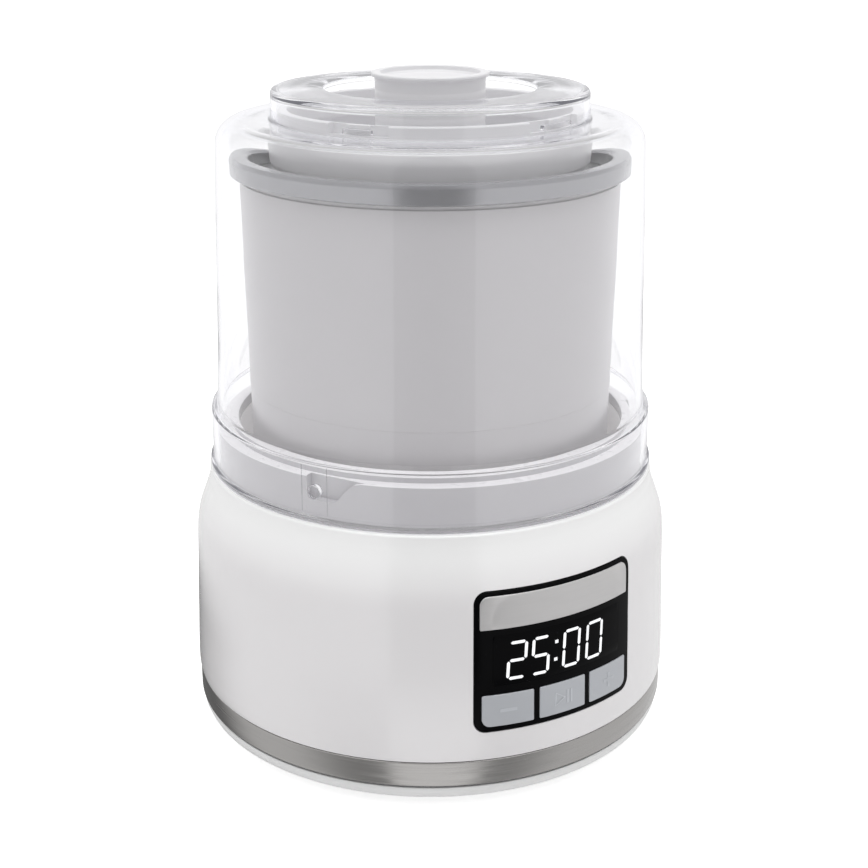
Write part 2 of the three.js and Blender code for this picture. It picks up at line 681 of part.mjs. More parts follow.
// --------------------------------------------------------------------- cover
const NECK_LUGS = [[-56.5, 11], [20, 16], [-175, 11]]; // [centre, width] in degrees

// A piece of a flat ring, centred on the front; width in degrees.
function ringSector(width, innerRadius, outerRadius, z0, z1) {
  const [start, end] = [(-90 - width / 2) * DEG, (-90 + width / 2) * DEG];
  const shape = new THREE.Shape();
  shape.absarc(0, 0, outerRadius, start, end, false);
  shape.absarc(0, 0, innerRadius, end, start, true);
  return raised(shape, z0, z1, 2);
}

function clearCover() {
  const shell = turned([
    [93.2, 114.6], [96.8, 114.6], [96.8, 117.2], [95.2, 117.8], [95.2, 138.8], [92.4, 141.8],
    [91.5, 164], [90.2, 215], [89, 245], [87, 253], [81.3, 260.4],
    [66, 261], [65.7, 270.6], [64.2, 273], [43.8, 273], [43.8, 270.8], [63, 270.8],
    [63.5, 258.6], [80, 258.2], [84.8, 251.8], [86.8, 244], [88, 215],
    [89.3, 164], [90.2, 141.4], [93.2, 137.6],
  ]);
  const lug = rodAlongY(LUG_R, -94, -90.4, { segments: 12, z: LUG_Z });
  const neckLugs = NECK_LUGS.map(([angle, width]) =>
    around(ringSector(width, 61.6, 64.6, 262, 263.8), angle));
  return piece('clear_cover', join(shell, ...repeated(lug, LUG_ANGLES), ...neckLugs), CLEAR);
}

// ------------------------------------------------------- inner lid and paddle
function innerLid() {
  const shell = turned([
    [23.3, 234], [56, 234], [58.8, 236.4], [60.6, 239.7], [62.7, 240.9], [65.3, 242.6],
    [66.3, 244.7], [66.3, 257.4], [65.6, 258.2], [60.6, 258.2], [60.6, 265.5], [58.6, 265.5],
    [58.6, 256.2], [64, 255.6], [64, 245.6], [60, 242.4], [56.6, 236.4], [25.2, 236.4],
    [25.2, 241.8], [23.3, 241.8],
  ], 24);
  const neckLug = ringSector(9, 59.4, 62.4, 264.1, 265.5);
  const lowerLug = ringSector(16, 26.2, 31.2, 231.4, 234.5);
  const body = join(
    shell,
    ...repeated(neckLug, NECK_LUGS.map(([angle]) => angle)),
    ...repeated(lowerLug, [30, 150, 270]),
  );
  return piece('inner_lid', body, LID_WHITE);
}

// Outlines of the paddle's flat frame and its two openings: [x, z].
const PADDLE_OUTLINE = [
  [-55.6, 122], [-50, 115], [50, 115], [55.6, 122],
  [57.2, 226], [50, 231], [-50, 231], [-57.2, 226],
];
const PADDLE_UPPER_OPENING = [[-47, 222], [47, 222], [47, 186], [-47, 152]];
const PADDLE_LOWER_OPENING = [
  [-46.4, 143], [46.8, 177], [46, 127], [42, 123.5], [-42, 123.5], [-46, 127],
];

function paddle() {
  const boreR = 24.6;
  const shape = new THREE.Shape(vectors(PADDLE_OUTLINE));
  for (const opening of [PADDLE_UPPER_OPENING, PADDLE_LOWER_OPENING])
    shape.holes.push(new THREE.Path(vectors(opening)));
  const frame = pushed(shape, -2, 2);
  const body = cut(join(frame, rod(33, 223, 231.1)), rod(boreR, 220, 235));
  return piece('paddle', body, LID_WHITE);
}

const fillerPlug = () => piece('filler_plug', turned([
  [0, 276.4], [20.4, 276.4], [20.4, 279.2], [24.3, 279.2], [24.3, 277.6], [22.8, 277],
  [22.8, 244.2], [24.9, 243.6], [24.9, 242.2], [22.7, 242.2], [22.7, 235], [20.8, 235],
  [20.8, 274.4], [0, 274.4],
], SMALL_SEGMENTS), LID_WHITE);

// ------------------------------------------------------------------ assembly
const cordPath = cordCurve();
const base = group(
  baseHousing(), trimRing(), wellLiner(), bottomPlate(), ...feet(), ...bottomScrews(),
  panelBezel(), nameplateStrip(), displayLens(), displayModule(), ...buttons(),
  controlBoard(), ...tactSwitches(), powerBoard(), transformer(),
  cordGrommet(), powerCord(cordPath), mainsPlug(cordPath),
);
const drive = group(
  motorBody(), motorPinion(), gearboxHousing(), gearboxCover(), ...gearboxScrews(),
  idlerGear(), idlerAxle(), outputGear(), outputShaft(), outputBush(), shaftSeal(),
  driveCoupling(),
);
const bowl = group(bowlShell(), bowlPot(), bowlRim(), coolantFill(), bowlSocket());
const lid = group(clearCover(), innerLid(), paddle(), fillerPlug());

export default group(base, drive, bowl, lid);
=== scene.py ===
# Frozen-yogurt and ice-cream maker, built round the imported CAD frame.
# It stands upright on Z, with its control panel facing -Y and its cord leaving at +Y.
# Shapes are in millimetres, scaled by MM as meshes are made; the stage is in metres.
# Angles round the machine are in degrees from -Y, positive towards +X.
import bpy
import bmesh
import json
import math
from mathutils import Matrix, Vector


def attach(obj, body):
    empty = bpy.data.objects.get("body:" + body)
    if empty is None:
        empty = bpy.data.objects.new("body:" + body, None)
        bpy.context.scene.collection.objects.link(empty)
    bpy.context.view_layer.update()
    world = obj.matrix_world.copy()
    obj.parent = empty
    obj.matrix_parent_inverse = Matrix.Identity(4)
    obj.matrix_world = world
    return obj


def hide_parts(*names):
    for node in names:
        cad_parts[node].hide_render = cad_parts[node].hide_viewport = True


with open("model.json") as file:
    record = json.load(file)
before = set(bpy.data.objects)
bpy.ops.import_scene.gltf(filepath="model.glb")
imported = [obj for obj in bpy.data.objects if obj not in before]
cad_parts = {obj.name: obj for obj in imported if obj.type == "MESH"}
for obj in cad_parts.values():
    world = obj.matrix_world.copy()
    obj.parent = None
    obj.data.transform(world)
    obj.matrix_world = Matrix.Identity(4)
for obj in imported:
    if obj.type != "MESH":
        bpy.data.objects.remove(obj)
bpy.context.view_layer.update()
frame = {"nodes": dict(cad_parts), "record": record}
scene = bpy.context.scene

MM = 0.001
RAD = math.pi / 180

# ------------------------------------------------------------- shared sizes
LUG_ANGLES = (-60, 60, 180)
FOOT_ANGLES = (45, 135, 225, 315)
SCREW_ANGLES = (0, 90, 180, 270)
FOOT_CIRCLE = 78
SCREW_CIRCLE = 92
FLOOR_Z = -3.5              # underside of the feet
COLLAR_RADIUS = 92.5

BUSHING_Z = 33.0            # height at which the cord leaves the base
BUSHING_NECK = 5.0          # half width
BUSHING_GAP = 0.3

ARC_RADIUS = 104.6          # arc lengths u on the panel are measured at this radius
PANEL_U, PANEL_Z = (-38.7, 38.7), (31.5, 91.8)
PANEL_CORNER = 5
PANEL_GAP = 0.3
LENS_U, LENS_Z = (-31.1, 31.1), (51.5, 73.1)
LENS_CORNER = 1.0
LENS_GAP = 0.06
STRIP_U, STRIP_Z = (-36.5, 36.5), (75.9, 89.9)
STRIP_GAP = 0.15
KEY_Z = (33.8, 47.6)
KEY_GAP = 0.22
ICON_Z = 40.6
# name, (u from, u to), corner radii
KEYS = [("minus", (-35.6, -13.6), (3.6, 0.6, 0.6, 0.6)),
        ("start", (-11.0, 11.0), (0.6, 0.6, 0.6, 0.6)),
        ("plus", (13.6, 35.6), (0.6, 3.6, 0.6, 0.6))]

# Tabs in the cover's neck: angle, width in degrees
NECK_TABS = ((-56.5, 11), (20, 16), (-175, 11))

# Outside of the base: height, radius
HOUSING = [(18.9, 105.55), (20.5, 105.8), (28, 105.8), (43, 105.25), (55, 104.85),
           (67, 104.35), (78, 103.98), (85, 103.7), (89, 103.25), (92.5, 102.5),
           (96.2, 101.2), (100.8, 99.55), (105.3, 98.0), (109.3, 97.0)]


# ----------------------------------------------------------------- outlines
def fillet(points, closed=True, steps=5):
    """Corner points (x, y[, radius]) to a polyline with round corners."""
    rounded = []
    count = len(points)
    for i, point in enumerate(points):
        radius = point[2] if len(point) > 2 else 0
        corner = Vector(point[:2])
        if radius <= 0 or (not closed and i in (0, count - 1)):
            rounded.append((corner.x, corner.y))
            continue
        back = Vector(points[i - 1][:2]) - corner
        ahead = Vector(points[(i + 1) % count][:2]) - corner
        back_length, ahead_length = back.length, ahead.length
        back.normalize()
        ahead.normalize()
        angle = back.angle(ahead)
        if angle > 176 * RAD:  # as good as straight
            rounded.append((corner.x, corner.y))
            continue
        half_tan = math.tan(angle / 2)
        trim = min(radius / half_tan, back_length * 0.49, ahead_length * 0.49)
        fitted = trim * half_tan
        centre = corner + (back + ahead).normalized() * (fitted / math.sin(angle / 2))
        start = corner + back * trim - centre
        end = corner + ahead * trim - centre
        start_angle = math.atan2(start.y, start.x)
        swing = math.atan2(end.y, end.x) - start_angle
        swing = (swing + math.pi) % (2 * math.pi) - math.pi
        for k in range(steps + 1):
            a = start_angle + swing * k / steps
            rounded.append((centre.x + fitted * math.cos(a), centre.y + fitted * math.sin(a)))
    return rounded


def split(points, longest):
    """Closed polyline with its long straight stretches cut up, except on the axis."""
    result = []
    for i, (x0, y0) in enumerate(points):
        x1, y1 = points[(i + 1) % len(points)]
        result.append((x0, y0))
        if x0 < 1e-6 and x1 < 1e-6:
            continue
        cuts = int(math.hypot(x1 - x0, y1 - y0) / longest)
        for k in range(1, cuts + 1):
            f = k / (cuts + 1)
            result.append((x0 + (x1 - x0) * f, y0 + (y1 - y0) * f))
    return result


def rounded_rect(x0, x1, y0, y1, radius, steps=6):
    points = []
    for cx, cy, start in ((x0 + radius, y0 + radius, 180), (x1 - radius, y0 + radius, 270),
                          (x1 - radius, y1 - radius, 0), (x0 + radius, y1 - radius, 90)):
        for k in range(steps + 1):
            a = (start + 90 * k / steps) * RAD
            points.append((cx + radius * math.cos(a), cy + radius * math.sin(a)))
    return points


def circle(cx, cy, radius, count):
    return [(cx + radius * math.cos(2 * math.pi * k / count),
             cy + radius * math.sin(2 * math.pi * k / count)) for k in range(count)]


def cross_outline(arm, half, cx=0.0, cy=0.0, rounding=0.0):
    """Plus sign: arm length from its centre, half width, rounding of the arm ends."""
    points = []
    quarter = [(-arm, -half, rounding), (-half, -half, 0), (-half, -arm, rounding)]
    for _ in range(4):
        points += [(cx + x, cy + y, r) for x, y, r in quarter]
        quarter = [(-y, x, r) for x, y, r in quarter]
    return fillet(points, steps=2)


def inset(outline, distance):
    """Closed outline moved inwards, with sharp corners held back."""
    if distance == 0:
        return list(outline)
    area = sum(outline[i - 1][0] * p[1] - p[0] * outline[i - 1][1]
               for i, p in enumerate(outline))
    turn = 1 if area > 0 else -1
    result = []
    for i, point in enumerate(outline):
        here = Vector(point)
        before = (here - Vector(outline[i - 1])).normalized()
        after = (Vector(outline[(i + 1) % len(outline)]) - here).normalized()
        normal = Vector((-(before.y + after.y), before.x + after.x))
        if normal.length < 1e-6:
            normal = Vector((-before.y, before.x))
        normal.normalize()
        lean = max(0.35, normal.dot(Vector((-before.y, before.x))))
        result.append((here.x + normal.x * distance / lean * turn,
                       here.y + normal.y * distance / lean * turn))
    return result


def quarter_round(bevel, steps):
    """Levels (inset, drop) of a rounded edge, from the flat face to the side."""
    if bevel == 0:
        return [(0.0, 0.0)]
    angles = [k / steps * math.pi / 2 for k in range(steps + 1)]
    return [(bevel * (1 - math.sin(a)), bevel * (1 - math.cos(a))) for a in angles]


def on_circle(radius, degrees):
    return radius * math.sin(degrees * RAD), -radius * math.cos(degrees * RAD)


def widen(span, gap):
    return span[0] - gap, span[1] + gap


# ------------------------------------------------------------------- solids
def smooth(obj, sharp=38):
    """Smooth shading, with edges over the given angle kept sharp."""
    mesh = obj.data
    mesh.polygons.foreach_set("use_smooth", [True] * len(mesh.polygons))
    mesh.set_sharp_from_angle(angle=sharp * RAD)
    mesh.update()


def new_object(name, verts, faces, sharp=38):
    mesh = bpy.data.meshes.new(name)
    mesh.from_pydata([(x * MM, y * MM, z * MM) for x, y, z in verts], [], faces)
    bm = bmesh.new()
    bm.from_mesh(mesh)
    bmesh.ops.remove_doubles(bm, verts=bm.verts, dist=1e-7)
    bmesh.ops.recalc_face_normals(bm, faces=bm.faces)
    bm.to_mesh(mesh)
    bm.free()
    obj = bpy.data.objects.new(name, mesh)
    scene.collection.objects.link(obj)
    smooth(obj, sharp)
    return obj


def lathe(name, section, segments, sharp=38, at=(0, 0)):
    """Solid of revolution about an upright axis from a closed section of (r, z)."""
    verts, faces, rings = [], [], []
    for r, z in section:
        start = len(verts)
        if r < 1e-6:
            rings.append([start])
            verts.append((at[0], at[1], z))
            continue
        rings.append(list(range(start, start + segments)))
        for k in range(segments):
            a = 2 * math.pi * k / segments
            verts.append((at[0] + r * math.sin(a), at[1] - r * math.cos(a), z))
    for i, ring in enumerate(rings):
        following = rings[(i + 1) % len(rings)]
        if len(ring) == 1 and len(following) == 1:
            continue
        for k in range(segments):
            j = (k + 1) % segments
            if len(ring) == 1:
                faces.append((ring[0], following[j], following[k]))
            elif len(following) == 1:
                faces.append((ring[k], ring[j], following[0]))
            else:
                faces.append((ring[k], ring[j], following[j], following[k]))
    return new_object(name, verts, faces, sharp)


def turned(name, section, segments, longest, steps=5, sharp=38):
    """Lathed solid from a table of (radius, height[, corner rounding])."""
    return lathe(name, split(fillet(section, steps=steps), longest), segments, sharp)


def loft(name, rings, sharp=38):
    """Skin through rings of equal length, with flat caps."""
    verts = [point for ring in rings for point in ring]
    m = len(rings[0])
    faces = []
    for i in range(len(rings) - 1):
        for k in range(m):
            j = (k + 1) % m
            faces.append((i * m + k, i * m + j, (i + 1) * m + j, (i + 1) * m + k))
    faces.append(tuple(range(m - 1, -1, -1)))
    faces.append(tuple((len(rings) - 1) * m + k for k in range(m)))
    return new_object(name, verts, faces, sharp)


def along_z(x, y, z):
    return (x, y, z)


def along_y(x, z, y):
    return (x, y, z)


def prism(name, outline, lo, hi, place=along_z, sharp=38, bevel=0.0):
    """Outline pushed from lo to hi; place turns outline point and depth into (x, y, z)."""
    edge = quarter_round(bevel, 3)
    levels = [(s, lo + drop) for s, drop in edge]
    levels += [(s, hi - drop) for s, drop in reversed(edge)]
    rings = [[place(a, b, depth) for a, b in inset(outline, s)] for s, depth in levels]
    return loft(name, rings, sharp)


def sector(name, middle, width, r0, r1, z0, z1):
    """Block between two radii and two heights, width degrees wide round middle."""
    n = 14
    start, end = middle - width / 2, middle + width / 2
    outline = [on_circle(r1, start + (end - start) * k / n) for k in range(n + 1)]
    outline += [on_circle(r0, end + (start - end) * k / n) for k in range(n + 1)]
    return prism(name, outline, z0, z1)


def boolean(obj, tool, operation="DIFFERENCE", sharp=38):
    """Apply the tool to obj and delete the tool."""
    modifier = obj.modifiers.new("cut", "BOOLEAN")
    modifier.operation = operation
    modifier.solver = "EXACT"
    modifier.object = tool
    bpy.context.view_layer.update()
    depsgraph = bpy.context.evaluated_depsgraph_get()
    mesh = bpy.data.meshes.new_from_object(obj.evaluated_get(depsgraph))
    obj.modifiers.clear()
    old = obj.data
    obj.data = mesh
    bpy.data.meshes.remove(old)
    remove(tool)
    bm = bmesh.new()
    bm.from_mesh(mesh)
    bmesh.ops.remove_doubles(bm, verts=bm.verts, dist=2e-7)
    bmesh.ops.dissolve_degenerate(bm, dist=1e-7, edges=bm.edges)
    bm.to_mesh(mesh)
    bm.free()
    smooth(obj, sharp)


def remove(obj):
    mesh = obj.data
    bpy.data.objects.remove(obj)
    bpy.data.meshes.remove(mesh)


def merge(name, objs):
    """Several objects as one mesh of separate closed islands."""
    bm = bmesh.new()
    for obj in objs:
        bm.from_mesh(obj.data)
    mesh = bpy.data.meshes.new(name)
    bm.to_mesh(mesh)
    bm.free()
    for obj in objs:
        remove(obj)
    merged = bpy.data.objects.new(name, mesh)
    scene.collection.objects.link(merged)
    smooth(merged)
    return merged


def rotated_z(obj, degrees):
    obj.data.transform(Matrix.Rotation(degrees * RAD, 4, "Z"))
    return obj


# ------------------------------------------ shapes that follow the housing
chords = [(r1 - r0) / (z1 - z0) for (z0, r0), (z1, r1) in zip(HOUSING, HOUSING[1:])]
HOUSING_SLOPES = ([chords[0]]
                  + [0 if a * b < 0 else (a + b) / 2 for a, b in zip(chords, chords[1:])]
                  + [chords[-1]])


def housing_r(z):
    """Radius of the base's outside at height z: a smooth cubic through HOUSING."""
    z = max(HOUSING[0][0], min(HOUSING[-1][0], z))
    i = next(i for i in range(1, len(HOUSING)) if z <= HOUSING[i][0])
    z0, r0 = HOUSING[i - 1]
    z1, r1 = HOUSING[i]
    h = z1 - z0
    t = (z - z0) / h
    m0, m1 = HOUSING_SLOPES[i - 1] * h, HOUSING_SLOPES[i] * h
    return ((2 * t**3 - 3 * t**2 + 1) * r0 + (t**3 - 2 * t**2 + t) * m0
            + (-2 * t**3 + 3 * t**2) * r1 + (t**3 - t**2) * m1)


def surf(u, z, h):
    """Point at arc length u from the panel's centre, height z, h above the housing."""
    r = housing_r(z) + h
    return (r * math.sin(u / ARC_RADIUS), -r * math.cos(u / ARC_RADIUS), z)


def on_front(outline, h0, h1):
    """Thin plate of outline (u, z) between heights h0 and h1 over the housing."""
    return prism("front_plate", outline, h0, h1, surf, sharp=60)


def patch(name, u_span, z_span, radii, top, depth, rows, bevel=0.0, middle=10, steps=3):
    """Closed plate that follows the housing, with round corners and front edge.

    radii go round from bottom left, as seen from the front; top is the height of the
    face above the housing; rows and middle are the subdivisions up and across.
    """
    if not isinstance(radii, (tuple, list)):
        radii = (radii,) * 4
    corner = 8  # columns over each rounded end
    verts, faces = [], []

    def end_of_column(edge, inward, radius, past):
        """Height of the edge, pulled inward where past the start of a corner."""
        if past <= 0:
            return edge
        return edge + inward * radius - inward * math.sqrt(max(0, radius**2 - past**2))

    def columns(s):
        """Columns (u, bottom, top) of the outline inset by s."""
        left, right = u_span[0] + s, u_span[1] - s
        bottom, upper = z_span[0] + s, z_span[1] - s
        left_w = max(max(radii[0], radii[3]) - s, 0.02)
        right_w = max(max(radii[1], radii[2]) - s, 0.02)
        lb, rb, rt, lt = (max(r - s, 0.01) for r in radii)
        ease = [1 - math.cos(k / corner * math.pi / 2) for k in range(corner)]
        us = [left + left_w * e for e in ease]
        us += [left + left_w + (right - right_w - left - left_w) * k / middle
               for k in range(middle + 1)]
        us += [right - right_w * e for e in reversed(ease)]
        return [(u,
                 max(end_of_column(bottom, 1, lb, left + lb - u),
                     end_of_column(bottom, 1, rb, u - (right - rb))),
                 min(end_of_column(upper, -1, lt, left + lt - u),
                     end_of_column(upper, -1, rt, u - (right - rt)))) for u in us]

    def ring(s, h):
        cols = columns(s)
        start = len(verts)
        verts.extend(surf(u, lo, h) for u, lo, hi in cols)
        u, lo, hi = cols[-1]
        verts.extend(surf(u, lo + (hi - lo) * r / rows, h) for r in range(1, rows))
        verts.extend(surf(u, hi, h) for u, lo, hi in reversed(cols))
        u, lo, hi = cols[0]
        verts.extend(surf(u, hi - (hi - lo) * r / rows, h) for r in range(1, rows))
        return start, cols, h

    levels = [(s, top - drop) for s, drop in quarter_round(bevel, steps)]
    levels.append((0, top - depth))
    rings = [ring(s, h) for s, h in levels]
    m = 2 * (len(rings[0][1]) + rows - 1)
    for (a, _, _), (b, _, _) in zip(rings, rings[1:]):
        for k in range(m):
            j = (k + 1) % m
            faces.append((a + k, a + j, b + j, b + k))

    def cap(start, cols, h):
        """Grid of faces that closes one ring."""
        n = len(cols)
        grid = [[start + k for k in range(n)]]
        for r in range(1, rows):
            line = [start + m - r]
            for u, lo, hi in cols[1:-1]:
                line.append(len(verts))
                verts.append(surf(u, lo + (hi - lo) * r / rows, h))
            grid.append(line + [start + n - 1 + r])
        grid.append([start + m - rows - k for k in range(n)])
        for lower, upper in zip(grid, grid[1:]):
            for k in range(n - 1):
                faces.append((lower[k], lower[k + 1], upper[k + 1], upper[k]))

    cap(*rings[0])
    cap(*rings[-1])
    return new_object(name, verts, faces)


def follow_housing(obj):
    """Take the shading normals of faces that lie along the housing from its surface."""
    mesh = obj.data
    normals = [None] * len(mesh.loops)
    corner = [tuple(n.vector) for n in mesh.corner_normals]
    for face in mesh.polygons:
        for loop in face.loop_indices:
            co = mesh.vertices[mesh.loops[loop].vertex_index].co
            z, r = co.z / MM, math.hypot(co.x, co.y)
            slope = (housing_r(z + 0.05) - housing_r(z - 0.05)) / 0.1
            normal = Vector((co.x / r, co.y / r, -slope)).normalized()
            along = face.normal.dot(normal) > 0.94
            normals[loop] = tuple(normal) if along else corner[loop]
    mesh.normals_split_custom_set(normals)


# ---------------------------------------------------------------- materials
class Graph:
    """Short ways to add shader nodes; an input is either a value or a socket to link."""

    def __init__(self, tree):
        self.tree = tree

    def node(self, kind, inputs=None, **settings):
        node = self.tree.nodes.new(kind)
        for key, value in settings.items():
            setattr(node, key, value)
        for key, value in (inputs or {}).items():
            if isinstance(value, bpy.types.NodeSocket):
                self.tree.links.new(value, node.inputs[key])
            else:
                node.inputs[key].default_value = value
        return node

    def add(self, kind, inputs=None, **settings):
        """Add a node and return its first output."""
        return self.node(kind, inputs, **settings).outputs[0]

    def math(self, operation, *values):
        return self.add("ShaderNodeMath", dict(enumerate(values)), operation=operation)

    def vector_math(self, operation, *values, output="Value"):
        node = self.node("ShaderNodeVectorMath", dict(enumerate(values)), operation=operation)
        return node.outputs[output]

    def remap(self, value, source=(0.0, 1.0), to=(0.0, 1.0), smooth=False):
        return self.add("ShaderNodeMapRange", {
            "Value": value, "From Min": source[0], "From Max": source[1],
            "To Min": to[0], "To Max": to[1],
        }, interpolation_type="SMOOTHSTEP" if smooth else "LINEAR")

    def mix(self, factor, a, b):
        return self.add("ShaderNodeMix", {0: factor, 2: a, 3: b})

    def mix_color(self, factor, a, b):
        return self.node("ShaderNodeMix", {0: factor, 6: a, 7: b}, data_type="RGBA").outputs[2]

    def mix_shader(self, factor, a, b):
        return self.add("ShaderNodeMixShader", {0: factor, 1: a, 2: b})

    def noise(self, vector, scale, detail, roughness=0.5):
        return self.add("ShaderNodeTexNoise", {"Vector": vector, "Scale": scale,
                                               "Detail": detail, "Roughness": roughness})

    def bump(self, height, strength, distance):
        return self.add("ShaderNodeBump", {"Height": height, "Strength": strength,
                                           "Distance": distance})

    def position(self):
        return self.node("ShaderNodeTexCoord").outputs["Object"]

    def split_xyz(self, vector):
        return self.node("ShaderNodeSeparateXYZ", {"Vector": vector}).outputs

    def surface(self, shader):
        self.add_output = self.node("ShaderNodeOutputMaterial", {"Surface": shader})


def new_material(name):
    material = bpy.data.materials.new(name)
    material.use_nodes = True
    material.node_tree.nodes.clear()
    return material, Graph(material.node_tree)


def shades(color, vary):
    """A darker and a lighter version of a colour."""
    return (tuple(max(0, v * (1 - vary)) for v in color) + (1,),
            tuple(min(1, v * (1 + vary)) for v in color) + (1,))


def moulded(name, color, rough, grain, grain_depth, vary, rough_vary=0.06,
            coat=0.0, metal=0.0, edge_wear_and_highlight=0.0, spec=0.5, glow=0.0, painted_top_highlight=None):
    """Moulded plastic or cast metal: fine grain, slow colour and gloss variation.

    wear lightens the edges; glow is light bleeding through thin white plastic; paler
    Edge lightening by pointiness stands for rubbing on the edges and a painted edge highlight;
    glow is a painted glow, emission that stands in for light the part would receive; the upward
    lightening is (from height, to height, albedo) of a part painted lighter towards its top, a
    painted highlight.
    """
    material, g = new_material(name)
    position = g.position()
    slow = g.noise(position, scale=22.0, detail=3.0, roughness=0.55)
    fine = g.noise(position, scale=grain, detail=2.0)
    medium = g.noise(position, scale=grain / 6, detail=4.0, roughness=0.6)
    base = g.mix_color(slow, *shades(color, vary))
    # painted highlight: the colour turns lighter towards the top of the given heights
    if painted_top_highlight:
        low, high, albedo = painted_top_highlight
        up = g.remap(g.split_xyz(position)["Z"], source=(low * MM, high * MM), smooth=True)
        base = g.mix_color(up, base, (albedo, albedo, albedo, 1))
    # edges lighter by pointiness: rubbing on them, and on the keys a painted bevel highlight
    if edge_wear_and_highlight > 0:
        pointiness = g.node("ShaderNodeNewGeometry").outputs["Pointiness"]
        edges = g.remap(pointiness, source=(0.52, 0.62), to=(0.0, edge_wear_and_highlight))
        edge_wear_highlight_tone = tuple(min(1, v * 1.35 + 0.06) for v in color) + (1,)
        base = g.mix_color(edges, base, edge_wear_highlight_tone)
    roughness = g.remap(medium, source=(0.25, 0.75),
                        to=(max(0.02, rough - rough_vary), rough + rough_vary))
    inputs = {
        "Base Color": base, "Roughness": roughness, "Metallic": metal,
        "Normal": g.bump(fine, strength=0.6, distance=grain_depth * MM),
        "Specular IOR Level": spec, "Coat Weight": coat, "Coat Roughness": 0.08,
    }
    # painted glow: emission in the part's own colour, standing in for light that reaches it
    if glow:
        inputs |= {"Emission Color": base, "Emission Strength": glow}
    g.surface(g.add("ShaderNodeBsdfPrincipled", inputs))
    return material


def brushed(name, color, rough, lines=9000, depth=0.012, metal=1.0, vary=0.16):
    """Brushed metal: fine lines round the Z axis, with uneven gloss."""
    material, g = new_material(name)
    axes = g.split_xyz(g.position())
    angle = g.math("ARCTAN2", axes["X"], axes["Y"])
    stretch = 1.6  # of the pattern, per radian round the axis
    pattern = g.add("ShaderNodeCombineXYZ", {"X": g.math("MULTIPLY", angle, stretch),
                                             "Z": g.math("MULTIPLY", axes["Z"], lines / 12)})
    strokes = g.noise(pattern, scale=6.0, detail=6.0, roughness=0.75)
    uneven = g.noise(pattern, scale=1.7, detail=3.0, roughness=0.6)
    g.surface(g.add("ShaderNodeBsdfPrincipled", {
        "Base Color": g.mix_color(strokes, *shades(color, vary)),
        "Roughness": g.remap(uneven, source=(0.3, 0.7), to=(rough - 0.07, rough + 0.09)),
        "Metallic": metal, "Anisotropic": 0.6,
        "Normal": g.bump(strokes, strength=0.5, distance=depth * MM),
        "Tangent": g.add("ShaderNodeTangent", direction_type="RADIAL", axis="Z"),
    }))
    return material


def clear(name, tint, rough, ior):
    """Clear polished plastic, tinted at its edges.

    Camera and mirror rays refract; light passes straight through to what is inside.
    """
    # painted glow inside the clear wall and along its edges, emission that lightens its dark
    # lines
    painted_inner_glow, painted_edge_glow = 0.012, 0.02  # glow inside the wall, and at its edges
    material, g = new_material(name)
    ripple = g.noise(g.position(), scale=55.0, detail=2.0)
    facing = g.node("ShaderNodeLayerWeight", {"Blend": 0.35}).outputs["Facing"]
    edge = g.math("POWER", facing, 3.0)
    rays = g.node("ShaderNodeLightPath").outputs
    # painted glow: emission on back faces met by reflection rays draws light lines where rays
    # bounce round inside the wall
    backfacing = g.node("ShaderNodeNewGeometry").outputs["Backfacing"]
    painted_glow_mask = g.math("MULTIPLY", backfacing, rays["Is Reflection Ray"])
    painted_glow_strength = g.math("ADD", g.math("MULTIPLY", painted_glow_mask, painted_inner_glow),
                     g.math("MULTIPLY", edge, painted_edge_glow))
    glass = g.add("ShaderNodeBsdfPrincipled", {
        "Base Color": g.mix_color(edge, (0.985, 0.985, 0.99, 1), tint),
        "Roughness": g.remap(ripple, source=(0.3, 0.7), to=(rough * 0.6, rough * 1.6)),
        "IOR": ior, "Transmission Weight": 1.0,
        "Normal": g.bump(ripple, strength=0.25, distance=0.00008),
        "Emission Color": (0.86, 0.86, 1.0, 1), "Emission Strength": painted_glow_strength,
    })
    thin = g.add("ShaderNodeBsdfTransparent", {"Color": (0.965, 0.965, 0.97, 1)})
    straight = g.math("MAXIMUM", rays["Is Shadow Ray"], rays["Is Diffuse Ray"])
    g.surface(g.mix_shader(straight, glass, thin))
    return material


def glowing(name, color, strength):
    """Lit digits, slightly uneven."""
    material, g = new_material(name)
    uneven = g.noise(g.position(), scale=260.0, detail=1.0)
    level = g.remap(uneven, source=(0.3, 0.7), to=(strength * 0.88, strength * 1.08))
    g.surface(g.add("ShaderNodeEmission", {"Color": color, "Strength": level}))
    return material
